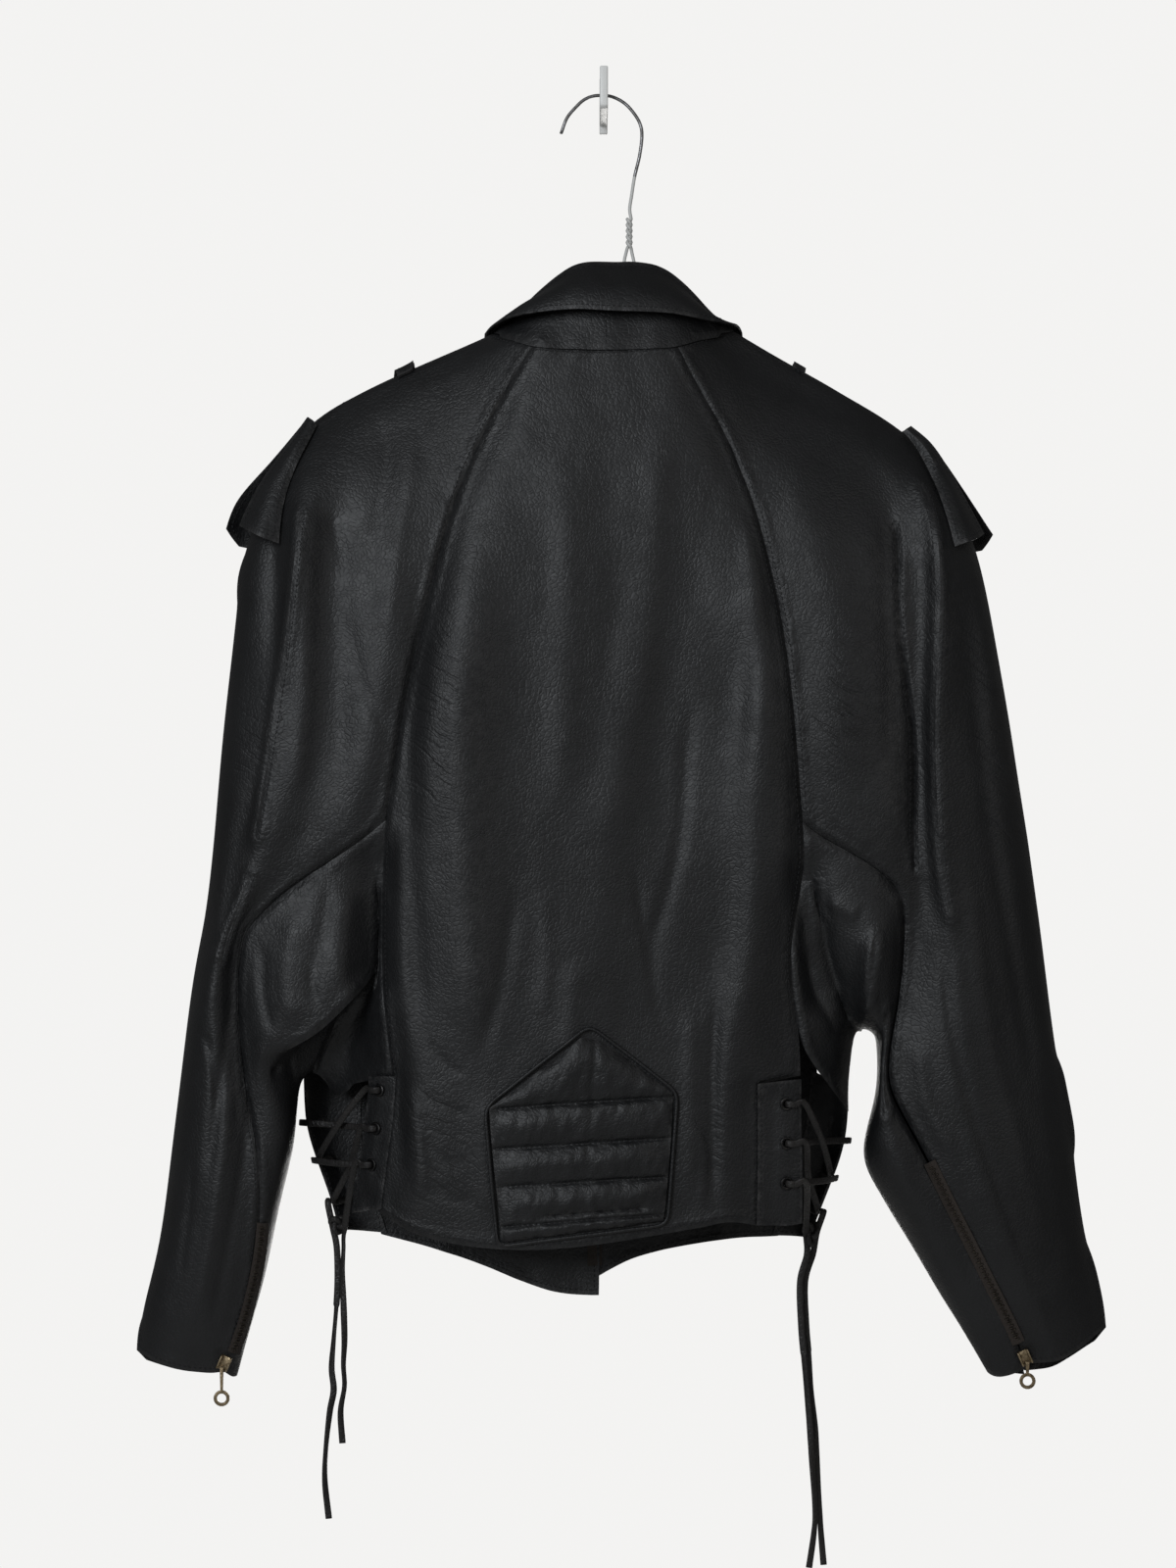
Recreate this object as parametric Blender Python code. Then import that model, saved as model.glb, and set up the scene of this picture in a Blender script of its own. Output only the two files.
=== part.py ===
import bisect
import math

import bmesh
import bpy
import numpy as np
from mathutils import Matrix, Vector
from mathutils.bvhtree import BVHTree

# Driving sizes, in metres
SQUARE = 0.001 * 2 / 3          # one square of the pattern sheet
SHEET_DEPTH = 0.095             # the sheet lies this far in front of the wall
VIEW = Vector((-0.011, -2.05, -0.469))  # the point from which the sheet is drawn
HOOK_ACROSS = 617               # sheet squares from the left edge to the hook
HOOK_DOWN = 97                  # sheet squares from the top edge to the hook
LEATHER = 0.0013                # thickness of one layer of leather
THIN_LEATHER = 0.0010           # skived underarm pieces
DOUBLED = 0.0020                # thickness of a turned and stitched layer
SEAM_GAP = 0.00032              # gap between two panels at a seam
LACE_WIDTH = 0.0023
LACE_STEP = 0.0078               # at most, between two points of a lace
EYELET_HOLE = 0.0050
EYELET_OUTER = 0.0092
WIRE = 0.0024                   # hanger wire
HANGER_DEPTH = 0.045            # hanger plane in front of the wall
ZIP_TAPE = 0.0095               # width of a closed sleeve zip
QUILT_RISE = 0.0030             # how far a quilted channel swells

for old in list(bpy.data.objects):
    bpy.data.objects.remove(old, do_unlink=True)


# Materials

def make_material(name, colour, roughness, metallic):
    mat = bpy.data.materials.new(name)
    mat.use_nodes = True
    shader = mat.node_tree.nodes["Principled BSDF"]
    shader.inputs["Base Color"].default_value = (*colour, 1.0)
    shader.inputs["Roughness"].default_value = roughness
    shader.inputs["Metallic"].default_value = metallic
    mat.diffuse_color = (*colour, 1.0)
    return mat


LEATHER_BLACK = (0.020, 0.021, 0.024)
LEATHER_DARK = (0.014, 0.014, 0.016)
LACE_BLACK = (0.018, 0.017, 0.017)
TAPE_BROWN = (0.030, 0.022, 0.017)
OLD_BRASS = (0.20, 0.15, 0.09)
EYELET_METAL = (0.05, 0.05, 0.055)
WIRE_STEEL = (0.16, 0.16, 0.17)
HOOK_WHITE = (0.80, 0.80, 0.78)


# Placing points: across and down in squares, depth in millimetres from the wall

def place(across, down, depth):
    near = depth * 0.001
    spread = (-VIEW.y - near) / (-VIEW.y - SHEET_DEPTH)
    x = VIEW.x + ((across - HOOK_ACROSS) * SQUARE - VIEW.x) * spread
    z = VIEW.z + ((HOOK_DOWN - down) * SQUARE - VIEW.z) * spread
    return np.array((x, -near, z))


def smooth_through(knots, values, at):
    """Curve through the values with no overshoot, like a spline bent by hand."""
    knots = np.asarray(knots, float)
    values = np.asarray(values, float)
    step = np.diff(knots)
    slope = np.diff(values) / step
    tangent = np.zeros(len(knots))
    tangent[0], tangent[-1] = slope[0], slope[-1]
    for i in range(1, len(knots) - 1):
        if slope[i - 1] * slope[i] > 0:
            a = 2 * step[i] + step[i - 1]
            b = step[i] + 2 * step[i - 1]
            tangent[i] = (a + b) / (a / slope[i - 1] + b / slope[i])
    i = min(max(bisect.bisect_right(knots, at) - 1, 0), len(step) - 1)
    t = min(max((at - knots[i]) / step[i], 0.0), 1.0)
    h = step[i]
    return ((2 * t**3 - 3 * t**2 + 1) * values[i] + (t**3 - 2 * t**2 + t) * h * tangent[i]
            + (-2 * t**3 + 3 * t**2) * values[i + 1] + (t**3 - t**2) * h * tangent[i + 1])


def column_at(column, level, first, last):
    """Point of one column of a panel at a level, the ends drawn to the column's own."""
    downs = [p[0] for p in column]
    down = level
    if level < first + 70:
        t = (level - first) / 70.0
        down = downs[0] + t * (first + 70 - downs[0])
    elif level > last - 70:
        t = (last - level) / 70.0
        down = downs[-1] - t * (downs[-1] - (last - 70))
    across = smooth_through(downs, [p[1] for p in column], down)
    depth = smooth_through(downs, [p[2] for p in column], down)
    return place(across, down, depth)


def rounded(points, counts):
    """Catmull-Rom curve through the points, with so many steps in each stretch."""
    pts = [np.asarray(p, float) for p in points]
    out = [pts[0]]
    for i in range(len(pts) - 1):
        p1, p2 = pts[i], pts[i + 1]
        p0 = pts[i - 1] if i else 2 * p1 - p2
        p3 = pts[i + 2] if i + 2 < len(pts) else 2 * p2 - p1
        d1 = max(np.linalg.norm(p2 - p1), 1e-6)
        d0 = max(np.linalg.norm(p1 - p0), 1e-6)
        d2 = max(np.linalg.norm(p3 - p2), 1e-6)
        m1 = ((p2 - p1) / d1 * d0 + (p1 - p0) / d0 * d1) / (d0 + d1) * d1
        m2 = ((p3 - p2) / d2 * d1 + (p2 - p1) / d1 * d2) / (d1 + d2) * d1
        for s in range(1, counts[i] + 1):
            t = s / counts[i]
            out.append((2 * t**3 - 3 * t**2 + 1) * p1 + (t**3 - 2 * t**2 + t) * m1
                       + (-2 * t**3 + 3 * t**2) * p2 + (t**3 - t**2) * m2)
    return out


def panel_grid(columns, levels, first, last, counts):
    return [rounded([column_at(c, level, first, last) for c in columns], counts)
            for level in levels]


# Levels down the garment
TOP_LEVELS = [352, 378, 408, 442, 480, 520, 565, 615, 670, 730, 785, 838]
BODY_LEVELS = [880, 925, 970, 1015, 1060, 1098, 1106, 1145, 1185, 1222, 1255]
LEFT_ARM = [838, 862, 892, 912, 932, 950, 990, 1035, 1080, 1130, 1180, 1225, 1270,
            1310, 1350, 1398]
RIGHT_ARM = [838, 850, 862, 876, 892, 915, 950, 1000, 1040, 1080, 1110, 1140, 1178, 1225,
             1270, 1310, 1350, 1392]

# Left sleeve columns, from the back seam over the outer fold to the front seam
LEFT_SEAM = [(352, 545, 84), (392, 520, 82), (430, 500, 82), (462, 485, 84), (495, 470, 86),
             (525, 460, 88), (560, 450, 90), (590, 442, 91), (620, 435, 92), (660, 425, 92),
             (690, 418, 92), (725, 412, 92), (755, 407, 91), (790, 402, 90), (838, 394, 88),
             (862, 365, 88), (885, 330, 86), (903, 300, 84), (930, 270, 82), (950, 250, 78),
             (1000, 243, 76), (1100, 249, 78), (1150, 258, 80), (1200, 268, 80),
             (1250, 266, 76), (1280, 263, 73), (1320, 256, 70), (1350, 248, 66),
             (1380, 238, 62), (1400, 230, 60)]
LEFT_FRONT_SEAM = [(372, 535, 18), (430, 505, 14), (520, 470, 12), (620, 440, 11),
                   (720, 418, 10), (838, 398, 10), (862, 368, 11), (885, 333, 12),
                   (903, 303, 12), (930, 275, 13), (950, 258, 14), (1000, 252, 14),
                   (1100, 256, 15), (1200, 262, 16), (1250, 255, 18), (1320, 240, 20),
                   (1350, 230, 22), (1400, 215, 26)]
LEFT_SLEEVE = [
    LEFT_SEAM,
    [(350, 540, 82), (390, 498, 78), (430, 465, 78), (480, 430, 84), (540, 405, 90),
     (620, 390, 95), (700, 380, 96), (780, 366, 95), (838, 350, 93), (870, 325, 91),
     (890, 306, 88), (920, 273, 84), (950, 246, 79), (1000, 238, 78), (1100, 240, 81),
     (1200, 254, 82), (1250, 250, 79), (1320, 245, 73), (1350, 238, 69), (1402, 214, 61)],
    [(348, 532, 79), (390, 470, 70), (430, 420, 70), (480, 370, 77), (560, 330, 84),
     (640, 330, 86), (750, 335, 88), (838, 318, 89), (870, 298, 88), (890, 285, 87),
     (920, 265, 84), (950, 241, 82), (1000, 230, 83), (1100, 228, 86), (1200, 235, 87),
     (1250, 228, 84), (1320, 220, 78), (1350, 216, 74), (1400, 193, 63)],
    [(346, 524, 74), (390, 440, 62), (430, 365, 62), (470, 312, 70), (500, 307, 84),
     (550, 303, 96), (600, 297, 98), (650, 292, 99), (700, 283, 99), (760, 275, 98),
     (838, 262, 95), (900, 253, 89), (950, 235, 86), (1000, 221, 86), (1100, 214, 88),
     (1200, 214, 88), (1250, 206, 85), (1320, 196, 79), (1350, 190, 75), (1396, 174, 64)],
    [(344, 516, 68), (390, 415, 55), (430, 336, 55), (480, 292, 61), (520, 284, 73),
     (560, 283, 80), (620, 278, 82), (700, 266, 84), (760, 257, 84), (838, 248, 84),
     (900, 241, 82), (950, 227, 84), (1000, 211, 84), (1100, 201, 82), (1200, 193, 82),
     (1250, 186, 79), (1320, 174, 74), (1350, 166, 70), (1391, 159, 62)],
    [(342, 509, 60), (390, 396, 51), (430, 321, 51), (480, 288, 56), (520, 270, 65),
     (560, 259, 71), (620, 252, 75), (700, 243, 76), (760, 236, 76), (838, 229, 75),
     (900, 222, 74), (950, 213, 73), (1000, 200, 72), (1100, 189, 70), (1200, 177, 69),
     (1250, 171, 67), (1320, 156, 63), (1350, 148, 60), (1384, 148, 56)],
    [(341, 503, 52), (357, 470, 46), (368, 440, 45), (384, 400, 45), (397, 370, 45),
     (410, 345, 45), (425, 318, 46), (445, 303, 48), (475, 286, 50), (510, 266, 52),
     (540, 253, 53), (560, 247, 54), (600, 240, 55), (650, 235, 55), (700, 229, 54),
     (750, 223, 54), (800, 219, 53), (860, 214, 52), (920, 208, 51), (960, 202, 50),
     (990, 197, 50), (1040, 190, 49), (1110, 181, 48), (1180, 172, 47), (1260, 162, 46),
     (1300, 153, 45), (1340, 142, 44), (1378, 140, 44)],
    [(343, 507, 42), (390, 398, 38), (430, 324, 39), (480, 291, 40), (520, 271, 39),
     (560, 258, 37), (620, 251, 34), (700, 243, 33), (760, 237, 32), (838, 231, 31),
     (900, 224, 30), (950, 216, 30), (1000, 203, 29), (1100, 192, 28), (1200, 181, 28),
     (1250, 175, 28), (1320, 160, 29), (1350, 152, 30), (1388, 150, 32)],
    [(356, 520, 28), (390, 450, 27), (430, 400, 23), (480, 360, 19), (560, 330, 15),
     (640, 320, 13), (750, 310, 12), (838, 295, 12), (890, 275, 13), (920, 262, 14),
     (950, 245, 14), (1000, 228, 14), (1100, 218, 14), (1200, 212, 15), (1250, 205, 16),
     (1320, 192, 18), (1350, 186, 20), (1398, 180, 25)],
    LEFT_FRONT_SEAM]

# Right sleeve columns, in the same order
RIGHT_SEAM = [(352, 691, 84), (370, 700, 83), (400, 715, 82), (430, 735, 82), (460, 748, 84),
              (490, 760, 86), (520, 772, 88), (560, 782, 90), (600, 792, 91), (640, 800, 92),
              (680, 805, 92), (720, 810, 92), (760, 813, 91), (800, 816, 90), (838, 819, 88),
              (850, 832, 88), (862, 853, 88), (876, 878, 87), (892, 903, 85), (915, 922, 82),
              (950, 924, 78), (1000, 920, 76), (1040, 914, 76), (1080, 906, 77),
              (1110, 908, 78), (1140, 924, 80), (1178, 945, 81), (1225, 968, 79),
              (1270, 991, 76), (1310, 1011, 72), (1350, 1031, 67), (1391, 1048, 61)]
RIGHT_FRONT_SEAM = [(372, 717, 18), (430, 745, 14), (520, 780, 12), (620, 800, 11),
                    (720, 812, 10), (838, 820, 10), (850, 833, 10), (862, 853, 11),
                    (876, 878, 12), (892, 903, 12), (915, 921, 13), (950, 930, 14),
                    (1000, 932, 14), (1040, 930, 14), (1080, 927, 15), (1110, 930, 15),
                    (1140, 940, 15), (1178, 956, 16), (1225, 976, 18), (1270, 996, 20),
                    (1310, 1014, 22), (1350, 1032, 24), (1398, 1045, 27)]
RIGHT_SLEEVE = [
    RIGHT_SEAM,
    [(350, 696, 82), (390, 728, 78), (430, 765, 78), (480, 805, 84), (560, 855, 95),
     (620, 868, 99), (700, 871, 100), (760, 872, 98), (838, 876, 94), (862, 890, 91),
     (892, 918, 86), (915, 934, 83), (950, 938, 80), (1000, 935, 79), (1040, 930, 80),
     (1080, 924, 81), (1110, 926, 82), (1140, 940, 84), (1178, 959, 85), (1225, 981, 84),
     (1270, 1003, 81), (1310, 1022, 77), (1350, 1042, 71), (1391, 1060, 63)],
    [(348, 703, 79), (390, 750, 70), (430, 805, 70), (470, 870, 71), (500, 905, 75),
     (560, 918, 80), (620, 915, 81), (700, 925, 81), (750, 934, 81), (800, 934, 81),
     (850, 933, 82), (892, 934, 82), (915, 943, 82), (950, 950, 83), (1000, 951, 84),
     (1040, 949, 85), (1080, 946, 86), (1110, 950, 86), (1140, 961, 87), (1178, 977, 88),
     (1225, 997, 88), (1270, 1018, 85), (1310, 1036, 80), (1350, 1055, 74),
     (1390, 1074, 65)],
    [(346, 711, 74), (390, 772, 62), (430, 850, 62), (470, 922, 66), (500, 950, 80),
     (540, 957, 93), (600, 961, 98), (650, 959, 99), (700, 955, 99), (750, 955, 98),
     (838, 958, 96), (892, 962, 93), (950, 974, 91), (1000, 982, 91), (1040, 985, 91),
     (1110, 991, 90), (1178, 1006, 90), (1225, 1019, 89), (1270, 1036, 86),
     (1310, 1052, 81), (1350, 1069, 75), (1386, 1088, 65)],
    [(344, 719, 68), (390, 790, 55), (430, 885, 55), (470, 940, 59), (500, 959, 68),
     (540, 973, 78), (600, 984, 84), (650, 990, 85), (700, 992, 84), (760, 999, 84),
     (838, 1006, 84), (892, 1011, 83), (950, 1020, 82), (1000, 1026, 82), (1040, 1031, 81),
     (1110, 1039, 80), (1178, 1053, 80), (1225, 1062, 79), (1270, 1074, 77),
     (1310, 1086, 73), (1350, 1096, 68), (1376, 1103, 62)],
    [(342, 731, 60), (390, 818, 51), (430, 908, 51), (470, 948, 53), (500, 967, 61),
     (540, 985, 70), (600, 1000, 77), (650, 1007, 79), (700, 1014, 79), (760, 1023, 78),
     (838, 1035, 76), (892, 1043, 75), (950, 1051, 74), (1000, 1057, 73), (1040, 1062, 72),
     (1110, 1072, 70), (1178, 1084, 69), (1225, 1091, 67), (1270, 1099, 65),
     (1310, 1109, 62), (1345, 1115, 59), (1364, 1117, 57)],
    [(339, 750, 52), (358, 775, 46), (374, 810, 45), (395, 850, 45), (418, 890, 45),
     (436, 922, 46), (455, 941, 48), (480, 959, 50), (510, 977, 52), (540, 992, 53),
     (565, 1001, 54), (600, 1009, 55), (650, 1019, 55), (700, 1028, 54), (750, 1038, 54),
     (800, 1044, 53), (850, 1053, 52), (900, 1060, 51), (950, 1067, 50), (1000, 1073, 50),
     (1050, 1079, 49), (1100, 1087, 48), (1150, 1097, 48), (1180, 1101, 47),
     (1220, 1105, 47), (1270, 1113, 46), (1300, 1120, 45), (1330, 1127, 45),
     (1354, 1129, 45)],
    [(341, 745, 42), (390, 830, 38), (430, 912, 39), (470, 947, 40), (500, 966, 40),
     (540, 985, 38), (600, 1000, 35), (650, 1008, 34), (700, 1016, 33), (760, 1026, 32),
     (838, 1038, 31), (892, 1046, 30), (950, 1054, 30), (1040, 1066, 29), (1110, 1076, 28),
     (1178, 1089, 28), (1225, 1095, 28), (1270, 1103, 28), (1310, 1112, 29),
     (1350, 1117, 31), (1368, 1117, 32)],
    [(356, 733, 28), (390, 790, 27), (430, 840, 23), (480, 880, 19), (560, 905, 15),
     (640, 920, 13), (750, 932, 12), (838, 938, 12), (892, 950, 13), (950, 965, 14),
     (1000, 972, 14), (1080, 985, 14), (1140, 1000, 14), (1178, 1010, 15),
     (1225, 1022, 16), (1270, 1036, 18), (1310, 1048, 20), (1350, 1064, 22),
     (1394, 1078, 26)],
    RIGHT_FRONT_SEAM]

# Back panel columns, left side to right side
LEFT_SIDE = [p for p in LEFT_SEAM if p[0] <= 838] + [
    (880, 391, 87), (925, 390, 87), (970, 389, 87), (1015, 391, 86), (1060, 396, 86),
    (1098, 401, 85), (1145, 398, 85), (1185, 392, 84), (1236, 386, 82)]
RIGHT_SIDE = [p for p in RIGHT_SEAM if p[0] <= 838] + [
    (880, 823, 88), (925, 814, 88), (970, 806, 88), (1015, 810, 87), (1060, 816, 87),
    (1098, 817, 87), (1106, 777, 92), (1145, 777, 92), (1185, 777, 92), (1222, 777, 91),
    (1251, 776, 90)]
BACK = [
    LEFT_SIDE,
    [(353, 556, 86), (430, 530, 90), (520, 490, 96), (600, 470, 103), (720, 446, 108),
     (838, 432, 106), (925, 424, 103), (1015, 424, 102), (1098, 430, 102), (1145, 428, 102),
     (1262, 428, 98)],
    [(354, 568, 86), (430, 556, 91), (520, 530, 97), (600, 510, 101), (720, 486, 104),
     (838, 476, 104), (925, 470, 103), (1015, 468, 104), (1098, 470, 104), (1271, 470, 101)],
    [(355, 595, 86), (430, 592, 92), (520, 580, 97), (600, 570, 100), (720, 558, 102),
     (838, 552, 102), (925, 546, 103), (1015, 540, 104), (1098, 538, 105), (1276, 538, 103)],
    [(355, 621, 86), (430, 624, 92), (520, 628, 97), (600, 632, 99), (720, 630, 100),
     (838, 624, 101), (925, 616, 102), (1015, 610, 104), (1098, 606, 105), (1271, 606, 103)],
    [(354, 648, 86), (430, 662, 91), (520, 690, 95), (600, 702, 95), (720, 690, 94),
     (838, 678, 95), (925, 668, 97), (1015, 662, 99), (1098, 662, 101), (1262, 662, 101)],
    [(353, 668, 86), (430, 696, 90), (520, 738, 94), (600, 752, 99), (720, 742, 100),
     (838, 722, 100), (925, 716, 98), (1015, 716, 97), (1098, 716, 98), (1253, 716, 99)],
    [(352, 680, 85), (430, 716, 87), (520, 758, 93), (600, 778, 101), (720, 778, 107),
     (838, 772, 107), (925, 770, 105), (1015, 762, 104), (1098, 750, 103), (1145, 746, 101),
     (1246, 748, 97)],
    RIGHT_SIDE]

# Front panels, plain, from the meeting edge to the sleeve seam and side edge
FRONT_LEFT_SIDE = [p for p in LEFT_FRONT_SEAM if p[0] <= 838] + [
    (880, 396, 10), (925, 394, 10), (970, 390, 10), (1015, 384, 10), (1060, 376, 10),
    (1098, 366, 11), (1145, 362, 12), (1185, 368, 13), (1222, 378, 14), (1259, 390, 15)]
FRONT_RIGHT_SIDE = [p for p in RIGHT_FRONT_SEAM if p[0] <= 838] + [
    (880, 822, 10), (925, 824, 10), (970, 826, 10), (1015, 828, 10), (1060, 832, 10),
    (1098, 834, 11), (1145, 830, 12), (1185, 820, 13), (1222, 808, 14), (1261, 794, 15)]
FRONT_LEFT = [
    [(418, 607, 14), (600, 607, 12), (900, 607, 12), (1200, 607, 14), (1321, 606, 18)],
    [(400, 580, 14), (520, 572, 10), (700, 562, 9), (1100, 560, 10), (1320, 562, 18)],
    [(388, 560, 16), (520, 535, 9), (700, 500, 8), (900, 492, 8), (1100, 494, 9),
     (1295, 506, 17)],
    [(380, 548, 17), (520, 500, 10), (700, 455, 8), (900, 440, 8), (1100, 430, 9),
     (1272, 440, 16)],
    FRONT_LEFT_SIDE]
FRONT_RIGHT = [
    [(418, 608, 14), (600, 608, 12), (900, 608, 12), (1200, 608, 14), (1303, 609, 18)],
    [(400, 636, 14), (520, 640, 10), (700, 650, 9), (1100, 652, 10), (1280, 646, 18)],
    [(388, 662, 16), (520, 690, 9), (700, 716, 8), (900, 722, 8), (1100, 716, 9),
     (1268, 712, 17)],
    [(380, 695, 17), (520, 736, 10), (700, 768, 8), (900, 780, 8), (1100, 782, 9),
     (1262, 758, 16)],
    FRONT_RIGHT_SIDE]

# Underarm pieces: rows across, from the back seam round the inner arm to the front seam.
# Each inner point is across, down and depth. The ends come from the seams.
LEFT_UNDER_ARM = {
    1398: [(233, 1402, 58), (236, 1404, 56), (239, 1405, 53), (242, 1404, 50),
           (243, 1402, 45), (240, 1400, 38), (230, 1400, 31)],
    1350: [(250, 1350, 65), (252, 1351, 63), (255, 1351, 59), (257, 1350, 54),
           (257, 1350, 47), (253, 1350, 36), (244, 1350, 27)],
    1310: [(261, 1310, 69), (264, 1310, 67), (267, 1310, 62), (269, 1310, 56),
           (269, 1310, 47), (264, 1310, 33), (255, 1310, 24)],
    1270: [(268, 1270, 73), (272, 1270, 71), (276, 1270, 66), (278, 1270, 58),
           (278, 1270, 47), (273, 1270, 31), (264, 1270, 21)],
    1225: [(271, 1225, 78), (277, 1225, 75), (283, 1225, 69), (286, 1225, 60),
           (286, 1225, 47), (281, 1225, 29), (272, 1225, 19)],
    1180: [(273, 1180, 82), (284, 1180, 81), (294, 1180, 74), (299, 1180, 63),
           (299, 1180, 48), (292, 1180, 27), (277, 1180, 17)],
    1130: [(266, 1132, 83), (281, 1134, 84), (294, 1134, 78), (302, 1132, 66),
           (303, 1130, 50), (296, 1130, 26), (275, 1130, 15)],
    1080: [(254, 1083, 82), (262, 1087, 86), (273, 1089, 83), (289, 1091, 71),
           (306, 1108, 51), (297, 1085, 24), (275, 1080, 14)],
    1035: [(256, 1052, 85), (270, 1068, 92), (289, 1075, 89), (299, 1072, 74),
           (309, 1100, 51), (305, 1078, 22), (280, 1048, 13)],
    990: [(258, 1018, 87), (283, 1050, 96), (306, 1066, 93), (313, 1060, 76),
          (312, 1095, 51), (311, 1072, 21), (286, 1020, 12)],
    950: [(270, 988, 89), (302, 1034, 98), (325, 1055, 95), (327, 1046, 77),
          (315, 1092, 51), (318, 1066, 20), (294, 996, 12)],
    932: [(290, 972, 92), (320, 1020, 99), (339, 1042, 96), (339, 1034, 77),
          (317, 1091, 51), (324, 1062, 19), (304, 985, 12)],
    912: [(310, 954, 94), (335, 1005, 99), (350, 1031, 96), (348, 1023, 77),
          (319, 1090, 50), (330, 1058, 19), (316, 974, 12)],
    892: [(332, 937, 94), (350, 991, 98), (360, 1021, 95), (356, 1013, 77),
          (321, 1090, 49), (337, 1054, 18), (332, 962, 12)],
    862: [(366, 910, 89), (370, 974, 92), (373, 1007, 89), (367, 1003, 76),
          (324, 1091, 47), (346, 1052, 18), (360, 952, 11)],
    838: [(384, 892, 85), (383, 956, 84), (383, 993, 82), (375, 1000, 73),
          (327, 1093, 46), (353, 1052, 18), (378, 950, 11)]}
LEFT_UNDER_BODY = {
    880: [(386, 926, 83), (386, 969, 82), (384, 1001, 80), (377, 1010, 71),
          (330, 1096, 44), (356, 1054, 17), (380, 962, 11)],
    925: [(387, 951, 84), (387, 981, 82), (384, 1008, 79), (376, 1020, 69),
          (333, 1099, 43), (357, 1060, 17), (380, 985, 11)],
    970: [(386, 986, 84), (385, 1004, 81), (381, 1020, 77), (373, 1033, 67),
          (335, 1102, 42), (357, 1068, 17), (377, 1012, 11)],
    1015: [(387, 1023, 83), (383, 1032, 80), (378, 1043, 74), (368, 1054, 63),
           (337, 1106, 41), (355, 1078, 17), (371, 1040, 11)],
    1060: [(391, 1063, 83), (384, 1067, 79), (376, 1072, 71), (363, 1080, 59),
           (339, 1109, 40), (351, 1090, 18), (365, 1072, 11)],
    1098: [(394, 1099, 82), (385, 1101, 76), (374, 1103, 68), (360, 1106, 56),
           (342, 1112, 39), (346, 1102, 20), (356, 1099, 12)]}
RIGHT_UNDER_ARM = {
    1392: [(1040, 1396, 61), (1030, 1400, 59), (1018, 1402, 55), (1009, 1398, 50),
           (1005, 1390, 44), (1010, 1391, 34), (1024, 1396, 28)],
    1350: [(1018, 1351, 67), (1004, 1352, 65), (991, 1352, 60), (983, 1351, 53),
           (981, 1350, 45), (988, 1350, 33), (1007, 1350, 26)],
    1310: [(997, 1310, 73), (982, 1311, 71), (967, 1311, 65), (957, 1310, 56),
           (955, 1310, 46), (963, 1310, 32), (985, 1310, 24)],
    1270: [(976, 1270, 78), (960, 1271, 76), (945, 1271, 69), (935, 1270, 58),
           (932, 1270, 46), (941, 1270, 30), (965, 1270, 22)],
    1225: [(952, 1225, 83), (935, 1226, 82), (918, 1226, 74), (907, 1225, 61),
           (904, 1225, 47), (914, 1225, 28), (942, 1225, 20)],
    1178: [(928, 1178, 87), (908, 1179, 87), (890, 1179, 78), (880, 1178, 63),
           (877, 1178, 48), (888, 1178, 26), (918, 1178, 17)],
    1140: [(912, 1140, 86), (900, 1141, 86), (891, 1141, 78), (887, 1140, 64),
           (887, 1140, 50), (893, 1140, 26), (912, 1140, 16)],
    1110: [(904, 1110, 83), (900, 1111, 82), (897, 1111, 77), (895, 1110, 65),
           (895, 1110, 50), (900, 1110, 25), (912, 1110, 15)],
    1080: [(904, 1081, 81), (901, 1082, 82), (898, 1082, 77), (896, 1081, 65),
           (896, 1080, 50), (899, 1080, 25), (910, 1080, 15)],
    1040: [(910, 1046, 80), (906, 1052, 82), (901, 1057, 78), (897, 1060, 66),
           (894, 1060, 50), (899, 1045, 24), (912, 1040, 15)],
    1000: [(914, 1018, 82), (907, 1036, 84), (899, 1049, 80), (894, 1054, 68),
           (891, 1055, 50), (896, 1030, 22), (912, 1003, 14)],
    950: [(914, 982, 86), (904, 1015, 89), (895, 1040, 84), (890, 1050, 70),
          (888, 1053, 50), (892, 1018, 21), (908, 970, 13)],
    915: [(910, 958, 91), (899, 1003, 93), (890, 1034, 87), (886, 1047, 71),
          (885, 1052, 49), (888, 1008, 20), (903, 945, 12)],
    892: [(897, 945, 94), (890, 995, 95), (884, 1030, 88), (882, 1045, 71),
          (883, 1052, 48), (884, 1000, 19), (892, 925, 12)],
    876: [(878, 930, 93), (878, 985, 90), (878, 1025, 84), (879, 1044, 70),
          (881, 1052, 47), (880, 995, 18), (878, 915, 11)],
    862: [(858, 915, 91), (864, 975, 84), (871, 1020, 79), (875, 1042, 68),
          (879, 1053, 46), (874, 992, 18), (862, 905, 11)],
    850: [(840, 900, 89), (850, 965, 80), (864, 1018, 75), (872, 1043, 65),
          (877, 1054, 45), (868, 992, 18), (848, 900, 11)],
    838: [(828, 890, 88), (841, 950, 81), (858, 1020, 75), (869, 1047, 63),
          (875, 1056, 44), (862, 995, 18), (835, 895, 11)]}
RIGHT_UNDER_BODY = {
    880: [(828, 920, 88), (838, 975, 83), (856, 1028, 76), (867, 1052, 62),
          (873, 1060, 43), (858, 1000, 17), (835, 930, 11)],
    925: [(821, 960, 89), (835, 1005, 86), (855, 1045, 76), (865, 1060, 61),
          (871, 1068, 42), (856, 1020, 17), (836, 965, 11)],
    970: [(817, 1000, 89), (835, 1038, 85), (855, 1066, 74), (864, 1076, 59),
          (869, 1082, 41), (857, 1050, 17), (838, 1000, 11)],
    1015: [(821, 1038, 88), (837, 1063, 83), (855, 1084, 71), (863, 1092, 57),
           (867, 1099, 40), (858, 1078, 17), (842, 1040, 11)],
    1060: [(828, 1078, 86), (842, 1096, 79), (856, 1114, 66), (863, 1123, 54),
           (867, 1130, 40), (861, 1115, 20), (847, 1088, 12)]}


# Walls

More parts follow.
